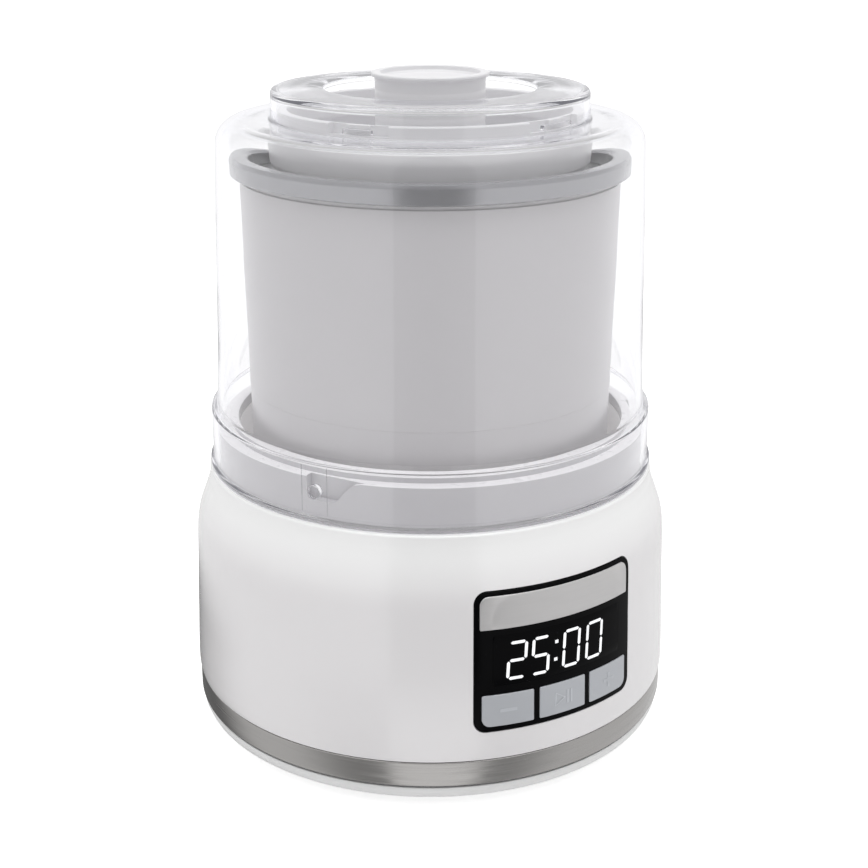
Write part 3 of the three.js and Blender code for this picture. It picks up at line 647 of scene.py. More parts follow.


# By material slot; collar_painted_shade, ledge_painted_light, lens_black, brass_pin and digit are extras.
MATERIALS = {
    # white plastic, painted lighter towards the top of its shoulder: a painted highlight
    "housing_white": moulded(
        "white_gloss", color=(0.78, 0.765, 0.775), rough=0.22, grain=1500,
        grain_depth=0.006, vary=0.012, rough_vary=0.04, coat=0.8, painted_top_highlight=(84, 108, 0.91)),
    # the housing's white plastic, darkened: painted shade on the collar behind the clear skirt
    "collar_painted_shade": moulded(
        "collar_painted_shade", color=(0.57, 0.56, 0.58), rough=0.22, grain=1500,
        grain_depth=0.003, vary=0.012),
    # the same white plastic, lighter and with a painted glow: painted light on the collar's
    # upward faces
    "ledge_painted_light": moulded(
        "ledge_painted_light", color=(0.78, 0.77, 0.785), rough=0.3, grain=1500,
        grain_depth=0.002, vary=0.012, glow=0.14),
    # painted glow: light added to the well's walls where they lie in shade
    "well_white": moulded(
        "well_white", color=(0.80, 0.785, 0.785), rough=0.45, grain=1200,
        grain_depth=0.004, vary=0.02, glow=0.18),
    "trim_steel": brushed("brushed_trim", color=(0.43, 0.42, 0.41), rough=0.19, vary=0.10),
    "plate_grey": moulded(
        "plate_grey", color=(0.80, 0.80, 0.80), rough=0.42, grain=1400,
        grain_depth=0.02, vary=0.03, edge_wear_and_highlight=0.15),
    "foot_rubber": moulded(
        "foot_rubber", color=(0.03, 0.03, 0.03), rough=0.75, grain=1800,
        grain_depth=0.03, vary=0.15, edge_wear_and_highlight=0.3),
    "screw_steel": brushed("screw_steel", color=(0.55, 0.55, 0.54), rough=0.35, lines=5000),
    "panel_black": moulded(
        "panel_black", color=(0.0022, 0.0022, 0.0026), rough=0.10, grain=900,
        grain_depth=0.002, vary=0.1, rough_vary=0.03, spec=0.05),
    "lens_black": moulded(
        "lens_black", color=(0.0016, 0.0016, 0.002), rough=0.05, grain=700,
        grain_depth=0.0015, vary=0.1, rough_vary=0.015, spec=0.05),
    "strip_silver": brushed(
        "strip_silver", color=(0.62, 0.61, 0.61), rough=0.42, lines=7000, depth=0.006,
        metal=0.6, vary=0.06),
    # its lighter edges are mostly a painted bevel highlight
    "key_silver": moulded(
        "key_silver", color=(0.475, 0.49, 0.52), rough=0.34, grain=5200,
        grain_depth=0.004, vary=0.02, metal=0.25, edge_wear_and_highlight=0.6),
    "electronics_black": moulded(
        "electronics_black", color=(0.02, 0.02, 0.022), rough=0.45, grain=2600,
        grain_depth=0.01, vary=0.2, edge_wear_and_highlight=0.2),
    "board_green": moulded(
        "board_green", color=(0.02, 0.13, 0.05), rough=0.35, grain=900,
        grain_depth=0.02, vary=0.25, coat=0.3),
    "gearbox_grey": moulded(
        "gearbox_grey", color=(0.55, 0.55, 0.55), rough=0.5, grain=1700,
        grain_depth=0.015, vary=0.04, edge_wear_and_highlight=0.2),
    "gear_plastic": moulded(
        "gear_plastic", color=(0.80, 0.76, 0.64), rough=0.42, grain=2100,
        grain_depth=0.01, vary=0.04, edge_wear_and_highlight=0.15),
    "shaft_steel": brushed("shaft_steel", color=(0.60, 0.60, 0.61), rough=0.22, lines=12000),
    "motor_steel": moulded(
        "motor_steel", color=(0.42, 0.43, 0.44), rough=0.38, grain=1500,
        grain_depth=0.01, vary=0.1, metal=0.9, edge_wear_and_highlight=0.4),
    "bush_bronze": moulded(
        "bush_bronze", color=(0.50, 0.33, 0.15), rough=0.42, grain=3000,
        grain_depth=0.02, vary=0.12, metal=0.9, edge_wear_and_highlight=0.4),
    "seal_rubber": moulded(
        "seal_rubber", color=(0.025, 0.025, 0.026), rough=0.7, grain=1800,
        grain_depth=0.02, vary=0.15, edge_wear_and_highlight=0.2),
    # painted glow: light added to the bowl, lightening its shaded lower part
    "bowl_grey": moulded(
        "bowl_grey", color=(0.57, 0.557, 0.57), rough=0.30, grain=1900,
        grain_depth=0.001, vary=0.012, rough_vary=0.02, glow=0.05),
    "rim_grey": moulded(
        "rim_grey", color=(0.39, 0.39, 0.407), rough=0.25, grain=2400,
        grain_depth=0.0006, vary=0.02, rough_vary=0.015, metal=0.55),
    "pot_metal": brushed("pot_metal", color=(0.62, 0.62, 0.625), rough=0.34, lines=6000),
    "coolant_gel": moulded(
        "coolant_gel", color=(0.50, 0.68, 0.80), rough=0.6, grain=400,
        grain_depth=0.1, vary=0.1),
    "cover_clear": clear("cover_clear", tint=(0.81, 0.81, 0.92, 1), rough=0.015, ior=1.49),
    # painted glow: light added to the lid under the clear cover
    "lid_white": moulded(
        "lid_white", color=(0.69, 0.685, 0.70), rough=0.30, grain=2200,
        grain_depth=0.0008, vary=0.01, rough_vary=0.03, glow=0.07),
    "cord_grey": moulded(
        "cord_vinyl", color=(0.68, 0.68, 0.67), rough=0.5, grain=1300,
        grain_depth=0.02, vary=0.04, edge_wear_and_highlight=0.1),
    "brass_pin": moulded(
        "nickel_pin", color=(0.66, 0.64, 0.60), rough=0.22, grain=2500,
        grain_depth=0.004, vary=0.06, metal=1.0, edge_wear_and_highlight=0.3),
    "digit": glowing("digit_glow", color=(0.97, 0.98, 1.0, 1), strength=1.15),
}


def finish(obj, body, slot, *replaces, material=None):
    """Give a piece its material, moving body, slot and the CAD pieces it replaces."""
    obj.data.materials.clear()
    obj.data.materials.append(MATERIALS[material or slot])
    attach(obj, body)
    if replaces:
        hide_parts(*replaces)


def color_cad_parts():
    """The inside keeps its CAD shapes; each gets its material."""
    slots = {part["node"]: part["material_slot"] for part in frame["record"]["subparts"]}
    for name, obj in frame["nodes"].items():
        obj.data.materials.clear()
        obj.data.materials.append(MATERIALS[slots[name]])


# --------------------------------------------------------------------- base
# Sections of turned parts are (radius, height[, corner rounding]).
def build_housing():
    """Outer shell, with a pocket for the panel and a slot for the cord bushing."""
    heights = ([18.9, 19.6, 20.5] + [22 + 3 * k for k in range(22)] + [86.5, 88.5]
               + [90 + 1.4 * k for k in range(14)])
    lip = [(97.0, 109.4), (96.9, 114.0, 1.6), (92.9, 114.0), (92.9, 112.8), (91, 112.8),
           (91, 109.4)]
    section = [(101.6, 8.0), (103.7, 8.0), (103.7, 18.9)]
    section += [(housing_r(z), z) for z in heights]
    section += fillet(lip, closed=False, steps=6)[1:]
    section += [(94.2, 108.0), (98.2, 98.0), (100.6, 90.0), (101.4, 82.0)]
    housing = lathe("base_shell", section, 240, sharp=40)
    pocket = patch("pocket", widen(PANEL_U, PANEL_GAP), widen(PANEL_Z, PANEL_GAP),
                   PANEL_CORNER + PANEL_GAP, top=6, depth=16, rows=6)
    boolean(housing, pocket, sharp=40)
    half = BUSHING_NECK + BUSHING_GAP
    slot = rounded_rect(-half, half, BUSHING_Z - half, BUSHING_Z + half, 3.2)
    boolean(housing, prism("slot", slot, 90, 115, along_y), sharp=40)
    follow_housing(housing)
    finish(housing, "base", "housing_white", "base_housing")


def build_collar():
    """Bayonet collar with its three cam channels, behind the clear skirt."""
    collar = turned("bayonet_collar", [
        (87.4, 113.0), (COLLAR_RADIUS, 113.0), (COLLAR_RADIUS, 132.5, 0.8),
        (88.0, 132.5, 0.3), (88.0, 135.0, 0.7), (83.6, 135.0, 0.7), (83.6, 130.0, 0.3),
        (87.4, 130.0)], 240, longest=8)
    half = 3.2                            # half width of the channel's entry
    travel = COLLAR_RADIUS * 5 * RAD      # a turn of 5 degrees
    channel = fillet([                    # across, height[, corner rounding]
        (-half - 0.6, 134.5), (-half, 131.0, 1.5), (-half, 126.0, 3.1),
        (-half + 0.1, 123.0, 3.0), (travel + 1.4, 123.0, 4.5),
        (travel + half + 1.6, 127.6, 5.0), (travel + half + 5.6, 131.6, 5.0),
        (travel + half + 12.5, 132.9), (travel + half + 12.5, 134.5)], steps=7)
    for angle in LUG_ANGLES:
        cutter = prism("channel", channel, -99, -89.0, along_y)
        boolean(collar, rotated_z(cutter, angle))
    # the collar's white plastic gets a darker material, a painted shade behind the clear skirt
    finish(collar, "base", "housing_white", material="collar_painted_shade")
    # its upward faces, the ledge, get a lighter copy with a painted glow: painted light on the
    # ledge
    collar.data.materials.append(MATERIALS["ledge_painted_light"])
    for face in collar.data.polygons:
        if face.normal.z > 0.7 and face.center.z > 131.5 * MM:
            face.material_index = 1


def build_well():
    well = turned("well_shell", [
        (8.06, 83.4), (13, 83.4), (13, 86, 0.5), (78, 86, 3), (82.2, 89.5, 3), (85.6, 106),
        (85.6, 127.0), (86.9, 127.0), (86.9, 129.7), (83.6, 129.7, 0.3), (83.6, 106, 3),
        (80.6, 91, 3), (77, 88.5, 2), (13, 88.5, 0.8), (13, 93.0, 0.5), (8.06, 93.0)],
        160, longest=10)
    finish(well, "base", "well_white", "well_liner")


def build_trim():
    trim = turned("trim_band", [
        (104.15, 7.7), (105.45, 7.7, 0.3), (105.45, 18.4, 0.3), (104.15, 18.4)],
        240, longest=4, steps=3)
    finish(trim, "base", "trim_steel", "trim_ring")


def build_tray():
    """Bottom plate with holes for screws and feet, and six slots."""
    tray = turned("bottom_tray", [
        (0, 0), (26, 0, 0.4), (26.6, 1.0, 0.4), (98, 1.0, 0.6), (100.4, 0.3, 1.2),
        (103.4, 1.3, 2.5), (104.7, 4.2, 2), (104.7, 6.5, 0.4), (102.4, 6.5), (102.4, 7.1),
        (97.6, 7.1), (97.6, 3.5, 1), (0, 3.5)], 200, longest=14)
    cutters = []
    for angle in SCREW_ANGLES:
        hole = circle(*on_circle(SCREW_CIRCLE, angle), 3.6, 28)
        cutters.append(prism("hole", hole, -1, 3.0))
    for angle in FOOT_ANGLES:
        hole = circle(*on_circle(FOOT_CIRCLE, angle), 3.3, 28)
        cutters.append(prism("hole", hole, -1, 5.0))
    for k in (-1, 0, 1):
        for side in (-1, 1):
            x, y = k * 11, side * 50
            cutters.append(prism("slot", rounded_rect(x - 2, x + 2, y - 14, y + 14, 1.95), -1, 5))
    boolean(tray, merge("tray_cutters", cutters))
    finish(tray, "base", "plate_grey", "bottom_plate")


def build_feet():
    section = fillet([
        (0, -3.1), (6.2, -3.1, 0.3), (6.6, FLOOR_Z, 0.3), (8.4, FLOOR_Z, 0.9),
        (9.0, -2.2, 0.6), (9.0, 0.9, 0.3), (3.0, 0.9), (3.0, 3.7, 0.2), (4.2, 3.8, 0.4),
        (3.0, 5.6, 0.5), (0, 5.6)], steps=4)
    for i, angle in enumerate(FOOT_ANGLES, 1):
        foot = lathe(f"rubber_foot_{i}", section, 48, at=on_circle(FOOT_CIRCLE, angle))
        finish(foot, "base", "foot_rubber", f"foot_{i}")


def build_screws():
    """Pan-head screws, heads down: domed head, cross recess, threaded shank."""
    head, shank, pitch, seat_z = 3.2, 20.0, 1.2, 2.6
    section = [(0, 0), (head * 0.55, 0.05), (head * 0.85, 0.35), (head, 1.0), (head, 2.2),
               (1.5, 2.2)]
    for k in range(int((shank - 3.4) / pitch)):
        z = 2.8 + k * pitch
        section += [(1.24, z), (1.5, z + 0.5), (1.5, z + 0.6)]
    section += [(1.2, shank - 0.5), (0.5, shank), (0, shank)]
    for i, angle in enumerate(SCREW_ANGLES, 1):
        screw = lathe(f"tray_screw_{i}", section, 28, sharp=30)
        recess = prism("recess", cross_outline(2.1, 0.55), -1, 1.3)
        boolean(screw, recess, sharp=30)
        x, y = on_circle(SCREW_CIRCLE, angle)
        screw.data.transform(Matrix.Translation((x * MM, y * MM, seat_z * MM)))
        finish(screw, "base", "screw_steel", f"bottom_screw_{i}")


# ------------------------------------------------------------ control panel
def build_bezel():
    """Black panel with openings for keys and display, and recesses for lens and strip."""
    bezel = patch("panel_frame", PANEL_U, PANEL_Z, PANEL_CORNER, top=0.28, depth=3.4,
                  bevel=0.35, rows=16, middle=36, steps=4)
    cutters = [patch("key_hole", widen(span, KEY_GAP), widen(KEY_Z, KEY_GAP),
                     [r + KEY_GAP for r in radii], top=4, depth=12, rows=3)
               for _, span, radii in KEYS]
    boolean(bezel, merge("key_cutters", cutters))
    boolean(bezel, patch("lens_recess", widen(LENS_U, LENS_GAP), widen(LENS_Z, LENS_GAP),
                         LENS_CORNER + LENS_GAP, top=3, depth=4.6, rows=6, middle=26))
    boolean(bezel, patch("window", (-28.6, 28.6), (53.0, 71.6), 0.8,
                         top=3, depth=12, rows=6, middle=26))
    boolean(bezel, patch("strip_recess", widen(STRIP_U, STRIP_GAP), widen(STRIP_Z, STRIP_GAP),
                         (0.7, 0.7, 3.8, 3.8), top=3, depth=3.7, rows=5, middle=30))
    follow_housing(bezel)
    finish(bezel, "base", "panel_black", "panel_bezel")


def build_panel_inserts():
    """Silver strip and display lens."""
    strip = patch("nameplate", STRIP_U, STRIP_Z, (0.6, 0.6, 3.6, 3.6), top=0.48, depth=0.95,
                  bevel=0.3, rows=5, middle=30)
    finish(strip, "base", "strip_silver", "nameplate_strip")
    lens = patch("display_window", LENS_U, LENS_Z, LENS_CORNER, top=0.27, depth=1.6,
                 bevel=0.05, rows=6, middle=26)
    finish(lens, "base", "panel_black", "display_lens", material="lens_black")


DIGIT_Z, DIGIT_HEIGHT = 53.4, 16.5
BAR, BAR_GAP = 1.25, 0.3    # width of a bar, and the gap at its ends
LEAN = 0.06                 # sideways shift per height
DIGIT_BARS = {"2": "abged", "5": "afgcd", "0": "abcdef"}


def digit_bars(digit, x, width):
    """Bars of a seven-bar digit with pointed ends, as outlines (u, z)."""
    half = BAR / 2
    low, high = DIGIT_Z + half, DIGIT_Z + DIGIT_HEIGHT - half
    middle = DIGIT_Z + DIGIT_HEIGHT / 2

    def leaning(points):
        return [(x + u + LEAN * (z - DIGIT_Z), z) for u, z in points]

    def across(z):
        a, b = BAR * 0.62 + BAR_GAP, width - BAR * 0.62 - BAR_GAP
        return leaning([(a, z), (a + half, z - half), (b - half, z - half), (b, z),
                        (b - half, z + half), (a + half, z + half)])

    def upright(u, z0, z1):
        z0, z1 = z0 + BAR_GAP * 0.7, z1 - BAR_GAP * 0.7
        return leaning([(u, z0), (u + half, z0 + half), (u + half, z1 - half), (u, z1),
                        (u - half, z1 - half), (u - half, z0 + half)])

    bars = {"a": across(high), "g": across(middle), "d": across(low),
            "b": upright(width - half, middle, high), "c": upright(width - half, low, middle),
            "f": upright(half, middle, high), "e": upright(half, low, middle)}
    return [bars[key] for key in DIGIT_BARS[digit]]


def build_digits():
    """Timer reading 25:00."""
    outlines = []
    # digit, u of its left edge, width
    for digit, x, width in (("2", -25.7, 8.5), ("5", -15.2, 8.2),
                            ("0", -0.8, 8.7), ("0", 11.1, 9.2)):
        outlines += digit_bars(digit, x, width)
    for z in (58.4, 66.0):  # colon
        x = -4.0 + LEAN * (z - 53.6)
        outlines.append([(x - 0.75, z - 0.7), (x + 0.75, z - 0.7),
                         (x + 0.75, z + 0.7), (x - 0.75, z + 0.7)])
    digits = merge("timer_digits", [on_front(outline, 0.16, 0.33) for outline in outlines])
    finish(digits, "base", "electronics_black", material="digit")


def key_icons(name, u):
    """Raised marks of a key centred on u, as outlines (u, z)."""
    z = ICON_Z
    if name == "minus":
        return [rounded_rect(u - 3.6, u + 3.6, z - 0.75, z + 0.75, 0.3, 3)]
    if name == "plus":
        return [cross_outline(3.2, 0.7, u, z, rounding=0.2)]
    play = [(u - 4.0, z - 3.1), (u + 0.9, z), (u - 4.0, z + 3.1), (u - 4.0, z + 0.04),
            (u - 3.45, z + 0.04), (u - 3.45, z + 2.2), (u - 0.05, z), (u - 3.45, z - 2.2),
            (u - 3.45, z - 0.04), (u - 4.0, z - 0.04)]
    return [play, rounded_rect(u + 1.6, u + 2.5, z - 3, z + 3, 0.15, 2),
            rounded_rect(u + 3.4, u + 4.3, z - 3, z + 3, 0.15, 2)]


def build_keys():
    for name, span, radii in KEYS:
        key = patch(f"key_{name}", span, KEY_Z, radii, top=0.62, depth=5.2, bevel=0.32,
                    rows=3, middle=14, steps=4)
        for outline in key_icons(name, sum(span) / 2):
            boolean(key, on_front(outline, 0.0, 0.76), "UNION", sharp=30)
        follow_housing(key)
        finish(key, f"key_{name}", "key_silver", f"button_{name}")


# ------------------------------------------------------------ cord and plug
def catmull(points, per=14):
    """Centripetal Catmull-Rom curve through the points."""
    points = [Vector(p) for p in points]
    padded = ([points[0] + (points[0] - points[1])] + points
              + [points[-1] + (points[-1] - points[-2])])
    curve = []
    for p0, p1, p2, p3 in zip(padded, padded[1:], padded[2:], padded[3:]):
        t0 = 0.0
        t1 = t0 + max(1e-6, (p1 - p0).length ** 0.5)
        t2 = t1 + max(1e-6, (p2 - p1).length ** 0.5)
        t3 = t2 + max(1e-6, (p3 - p2).length ** 0.5)
        for k in range(per):
            t = t1 + (t2 - t1) * k / per

            def blend(p, q, start, end):
                return p * ((end - t) / (end - start)) + q * ((t - start) / (end - start))

            a1, a2, a3 = blend(p0, p1, t0, t1), blend(p1, p2, t1, t2), blend(p2, p3, t2, t3)
            curve.append(blend(blend(a1, a2, t0, t2), blend(a2, a3, t1, t3), t1, t2))
    curve.append(points[-1])
    return curve


def sweep(name, line, radius, n=20):
    """Round cord along a line of points."""
    rings, normal = [], None
    for i, point in enumerate(line):
        d = (line[min(i + 1, len(line) - 1)] - line[max(i - 1, 0)]).normalized()
        if normal is None:
            normal = d.orthogonal().normalized()
        normal = (normal - d * normal.dot(d)).normalized()
        other = d.cross(normal)
        rings.append([tuple(point + normal * a + other * b)
                      for a, b in circle(0, 0, radius, n)])
    return loft(name, rings, sharp=60)


def build_cord():
    """Cord from inside the base down to a flat coil behind it; returns its centre line."""
    radius = 3.1
    coil_z = FLOOR_Z + radius
    coil_x, coil_y = 14, 158
    turns, stations = 2.5, 20
    path = [(0, 84, BUSHING_Z), (0, 96, BUSHING_Z), (0, 110, BUSHING_Z),
            (1, 118, 31), (3, 127, 22), (6, 136, 12)]
    for k in range(stations + 1):
        a = (250 + k * turns * 360 / stations) * RAD
        r = 17 + 21 * k / stations
        path.append((coil_x + r * math.cos(a), coil_y + r * math.sin(a),
                     coil_z + 4 if k == 0 else coil_z))
    line = catmull(path)
    finish(sweep("mains_cord", line, radius), "base", "cord_grey", "power_cord")
    return line


def build_plug(line):
    """Plug in line with the end of the cord, with two round pins."""
    d = (line[-1] - line[-2]).normalized()
    heading = math.atan2(d.y, d.x)
    cos, sin = math.cos(heading), math.sin(heading)
    start_x, start_y = line[-1].x + d.x * 0.4, line[-1].y + d.y * 0.4
    axis_z = FLOOR_Z + 5.5

    def from_plug(x, y, z):
        return (start_x + x * cos - y * sin, start_y + x * sin + y * cos, axis_z + z)

    # distance from the cord, half width, half height, corner radius
    stations = [
        (-0.2, 3.3, 3.3, 3.2), (0.4, 3.9, 3.9, 3.8), (2.2, 3.9, 3.9, 3.8),
        (2.6, 3.5, 3.5, 3.4), (3.6, 3.5, 3.5, 3.4), (4.0, 4.2, 4.1, 4.0),
        (5.6, 4.2, 4.1, 4.0), (6.0, 3.8, 3.8, 3.7), (7.0, 3.9, 3.9, 3.8),
        (7.4, 4.7, 4.4, 4.3), (9.2, 4.8, 4.4, 4.3), (11, 6.6, 4.7, 4.5),
        (15, 8.0, 4.9, 3.6), (22, 8.4, 4.95, 3.2), (30, 8.5, 5.0, 2.8),
        (33.2, 8.45, 4.95, 2.6), (34, 7.9, 4.4, 2.4)]
    rings = [[from_plug(x, a, b) for a, b in rounded_rect(-w, w, -h, h, r, 8)]
             for x, w, h, r in stations]
    finish(loft("plug_moulding", rings, sharp=50), "base", "cord_grey", "mains_plug")

    # distance from the cord, radius
    pin_stations = [(33.0, 2.0), (44.0, 2.0), (44.01, 1.9), (44.6, 1.9), (51.4, 2.0),
                    (52.2, 1.6), (52.5, 0.9)]
    pins = []
    for offset in (-6.86, 6.86):
        rings = [[from_plug(x, a, b) for a, b in circle(offset, 0, r, 24)]
                 for x, r in pin_stations]
        pins.append(loft("pin", rings, sharp=50))
    finish(merge("plug_pins", pins), "base", "cord_grey", material="brass_pin")


def build_bushing():
    """Square bushing round the cord: flange, neck through the housing, and bore."""
    def square(half, rounding):
        return rounded_rect(-half, half, BUSHING_Z - half, BUSHING_Z + half, rounding)

    bushing = prism("cord_bushing", square(7.5, 4.2), 105.6, 108.0, along_y, bevel=0.7)
    boolean(bushing, prism("neck", square(BUSHING_NECK, 3.2), 98, 106.4, along_y), "UNION")
    boolean(bushing, prism("bore", circle(0, BUSHING_Z, 3.4, 32), 90, 112, along_y))
    finish(bushing, "base", "seal_rubber", "cord_grommet")


# --------------------------------------------------------------------- bowl
def build_bowl():
    shell = turned("bowl_shell", [
        (14.4, 94.0), (70, 94.0, 3), (75.8, 96.8, 5), (77.7, 104, 4), (77.8, 121.5),
        (77.95, 149.6, 0.2), (78.12, 149.9, 0.2), (78.4, 172), (78.9, 199), (79.2, 232),
        (79.3, 237.3, 0.2), (78.6, 237.7, 0.2), (78.6, 238.8), (77.4, 238.8), (76.2, 172),
        (75.8, 104, 3), (73, 97.2, 3), (69, 95.8), (14.4, 95.8)], 220, longest=12)
    finish(shell, "bowl", "bowl_grey", "bowl_outer_shell")
    rim = turned("bowl_rim", [
        (75.4, 238.3), (77.0, 238.3), (77.0, 239.0), (79.4, 239.0, 0.2), (79.4, 239.7, 0.2),
        (83.1, 239.9, 0.5), (83.2, 246.0, 1.3), (82.1, 247.5, 1.1), (77.0, 247.5, 1.2),
        (75.4, 246.2, 1.1)], 220, longest=8, steps=6)
    finish(rim, "bowl", "rim_grey", "bowl_rim_ring")
    pot = turned("bowl_pot", [
        (0, 112), (54, 112, 3), (60, 115.4, 4), (62, 122, 4), (63.4, 236.4, 0.5),
        (77.0, 236.4), (77.0, 238.0), (61.6, 238.0, 1.4), (60.2, 123, 5), (58.6, 117, 4),
        (53.4, 113.6, 4), (0, 113.6)], 160, longest=10, steps=6)
    finish(pot, "bowl", "pot_metal", "bowl_inner_pot")


# -------------------------------------------------------------------- cover
def build_cover():
    """Clear dome with its skirt, bayonet lugs and neck tabs."""
    cover = turned("clear_dome", [
        (93.2, 114.35, 0.3), (96.5, 114.35, 0.5), (96.5, 116.2, 0.6), (95.3, 117.0, 0.6),
        (95.2, 138.9, 0.9), (92.5, 141.3, 1.3), (91.5, 164), (90.8, 188), (90.2, 212),
        (89.5, 236), (88.6, 261.0, 9.5), (66.0, 261.0, 0.9), (65.7, 273.0, 2.0),
        (43.8, 273.0, 0.6), (43.8, 270.9, 0.6), (63.2, 270.6, 1.4), (63.6, 258.8, 1.2),
        (86.4, 258.6, 7.6), (87.5, 236), (88.2, 212), (88.8, 188), (89.4, 164),
        (90.4, 141.0, 1.6), (93.1, 138.0, 1.0)], 260, longest=9, steps=8, sharp=50)
    for angle in LUG_ANGLES:
        lug = prism("lug", circle(0, 126.2, 2.8, 28), -93.9, -90.4, along_y, bevel=0.3)
        boolean(cover, rotated_z(lug, angle), "UNION", sharp=50)
    for angle in (-62.7, -55.7):  # mould parting lines on the skirt
        outline = [(-0.13, 118.2), (0.13, 118.2), (0.13, 137.8), (-0.13, 137.8)]
        ridge = prism("part_line", outline, -95.42, -94.9, along_y)
        boolean(cover, rotated_z(ridge, angle), "UNION", sharp=50)
    for angle, width in NECK_TABS:
        tab = sector("tab", angle, width, 61.6, 64.4, 262.0, 263.8)
        boolean(cover, tab, "UNION", sharp=50)
    finish(cover, "cover", "cover_clear", "clear_cover")


# ---------------------------------------------------- inner lid and paddle
def build_lid():
    collar_top = 265.5
    lid = turned("lid_drum", [
        (23.3, 234.0), (56.0, 234.0, 1.5), (58.8, 236.4, 2), (60.6, 239.7, 1),
        (62.7, 240.9, 1.5), (65.3, 242.4, 2), (66.3, 244.7, 1.6), (66.3, 257.4, 0.9),
        (65.4, 258.2, 0.4), (62.9, 258.2, 0.3), (62.9, collar_top, 0.6),
        (58.6, collar_top, 0.7), (58.6, 256.2, 1), (64.0, 255.6, 0.8), (64.0, 245.6, 2),
        (60.0, 242.4, 2), (56.6, 236.4, 2.5), (25.2, 236.4, 1.5), (25.2, 241.8, 0.7),
        (23.3, 241.8, 0.5)], 200, longest=7)
    for angle, width in NECK_TABS:  # the collar is cut back where the cover's tabs sit
        boolean(lid, sector("notch", angle, width + 12, 60.6, 64.5, 261.4, 267))
    for angle, _ in NECK_TABS:
        boolean(lid, sector("tab", angle, 9, 59.4, 62.4, 264.1, collar_top), "UNION")
    for angle in (30, 150, 270):  # blocks under the lid, round its centre hole
        boolean(lid, sector("block", angle, 16, 26.2, 31.2, 231.4, 234.6), "UNION")
    finish(lid, "lid", "lid_white", "inner_lid")


def build_paddle():
    """Flat frame across the bowl with two openings, and a ring at its top."""
    # Outlines: across, height, corner rounding
    edge = [(-55.6, 122, 3), (-50, 115, 2), (50, 115, 2), (55.6, 122, 3), (57.2, 226, 4),
            (50, 231, 3), (-50, 231, 3), (-57.2, 226, 4)]
    upper = [(-47, 222, 4), (47, 222, 4), (47, 186, 4), (-47, 152, 4)]
    lower = [(-46.4, 143, 4), (46.8, 177, 4), (46, 127, 4), (42, 123.5, 2),
             (-42, 123.5, 2), (-46, 127, 4)]
    ring = [(20, 223), (33, 223, 1), (33, 231.1, 1), (20, 231.1)]
    paddle = prism("mix_paddle", fillet(edge), -2, 2, along_y, bevel=0.8)
    for opening in (upper, lower):
        boolean(paddle, prism("opening", fillet(opening), -5, 5, along_y))
    boolean(paddle, lathe("ring", fillet(ring, steps=4), 96), "UNION")
    boolean(paddle, lathe("bore", [(0, 218), (24.6, 218), (24.6, 235), (0, 235)], 96))
    finish(paddle, "lid", "lid_white", "paddle")


def build_filler_cap():
    """Hollow plug in the middle of the lid, with faint turned ribs."""
    wall = 22.8
    section = [(0, 276.6), (18.8, 276.6, 1.0), (20.4, 277.4, 0.6), (20.6, 279.2, 0.5),
               (24.3, 279.2, 0.7), (24.3, 277.7, 0.6), (23.1, 277.2, 0.8), (wall, 275.4)]
    z = 273.2
    while z > 247.5:
        section += [(wall, z), (22.68, z - 0.5), (22.68, z - 1.0), (wall, z - 1.5)]
        z -= 3.1
    section += [(wall, 244.4, 0.3), (24.9, 243.7, 0.4), (24.9, 242.2, 0.3),
                (22.7, 242.2, 0.2), (22.7, 235.0, 0.4), (20.8, 235.0, 0.4),
                (20.8, 274.4, 0.6), (0, 274.4)]
    cap = lathe("filler_cap", fillet(section, steps=4), 128, sharp=45)
    finish(cap, "plug", "lid_white", "filler_plug")


# ----------------------------------------- floor, light and camera (metres)
CAMERA_TURN = -30.7 * RAD
VIEW = Vector((math.sin(-CAMERA_TURN), math.cos(-CAMERA_TURN), 0))  # level, the way it looks
RIGHT = Vector((VIEW.y, -VIEW.x, 0))

SOFT_FRONT, SOFT_BACK = 0.42, 0.95  # light for matt surfaces: camera's side, far side
OVERHEAD = 0.28                     # added to it straight up
GAP, BOX = 0.05, 0.80               # mirrored: dark gap, and the soft boxes beside it
GAP_CENTRE = 2.2 * RAD              # azimuth of the gap, towards the camera's right
GAP_EDGE = (20.0 * RAD, 21.6 * RAD)  # from its centre
POOL = 2.0                          # mirrored soft pool of light overhead
POOL_AT = tuple((-VIEW * 0.29 + RIGHT * 0.06 + Vector((0, 0, 1.35))).normalized())
THROUGH = 1.16                      # seen through the clear cover
EDGE = 0.90                         # mirrored inside the clear wall
CEILING = 0.48                      # share of light left towards the ceiling
SEEN = 1.0                          # seen directly


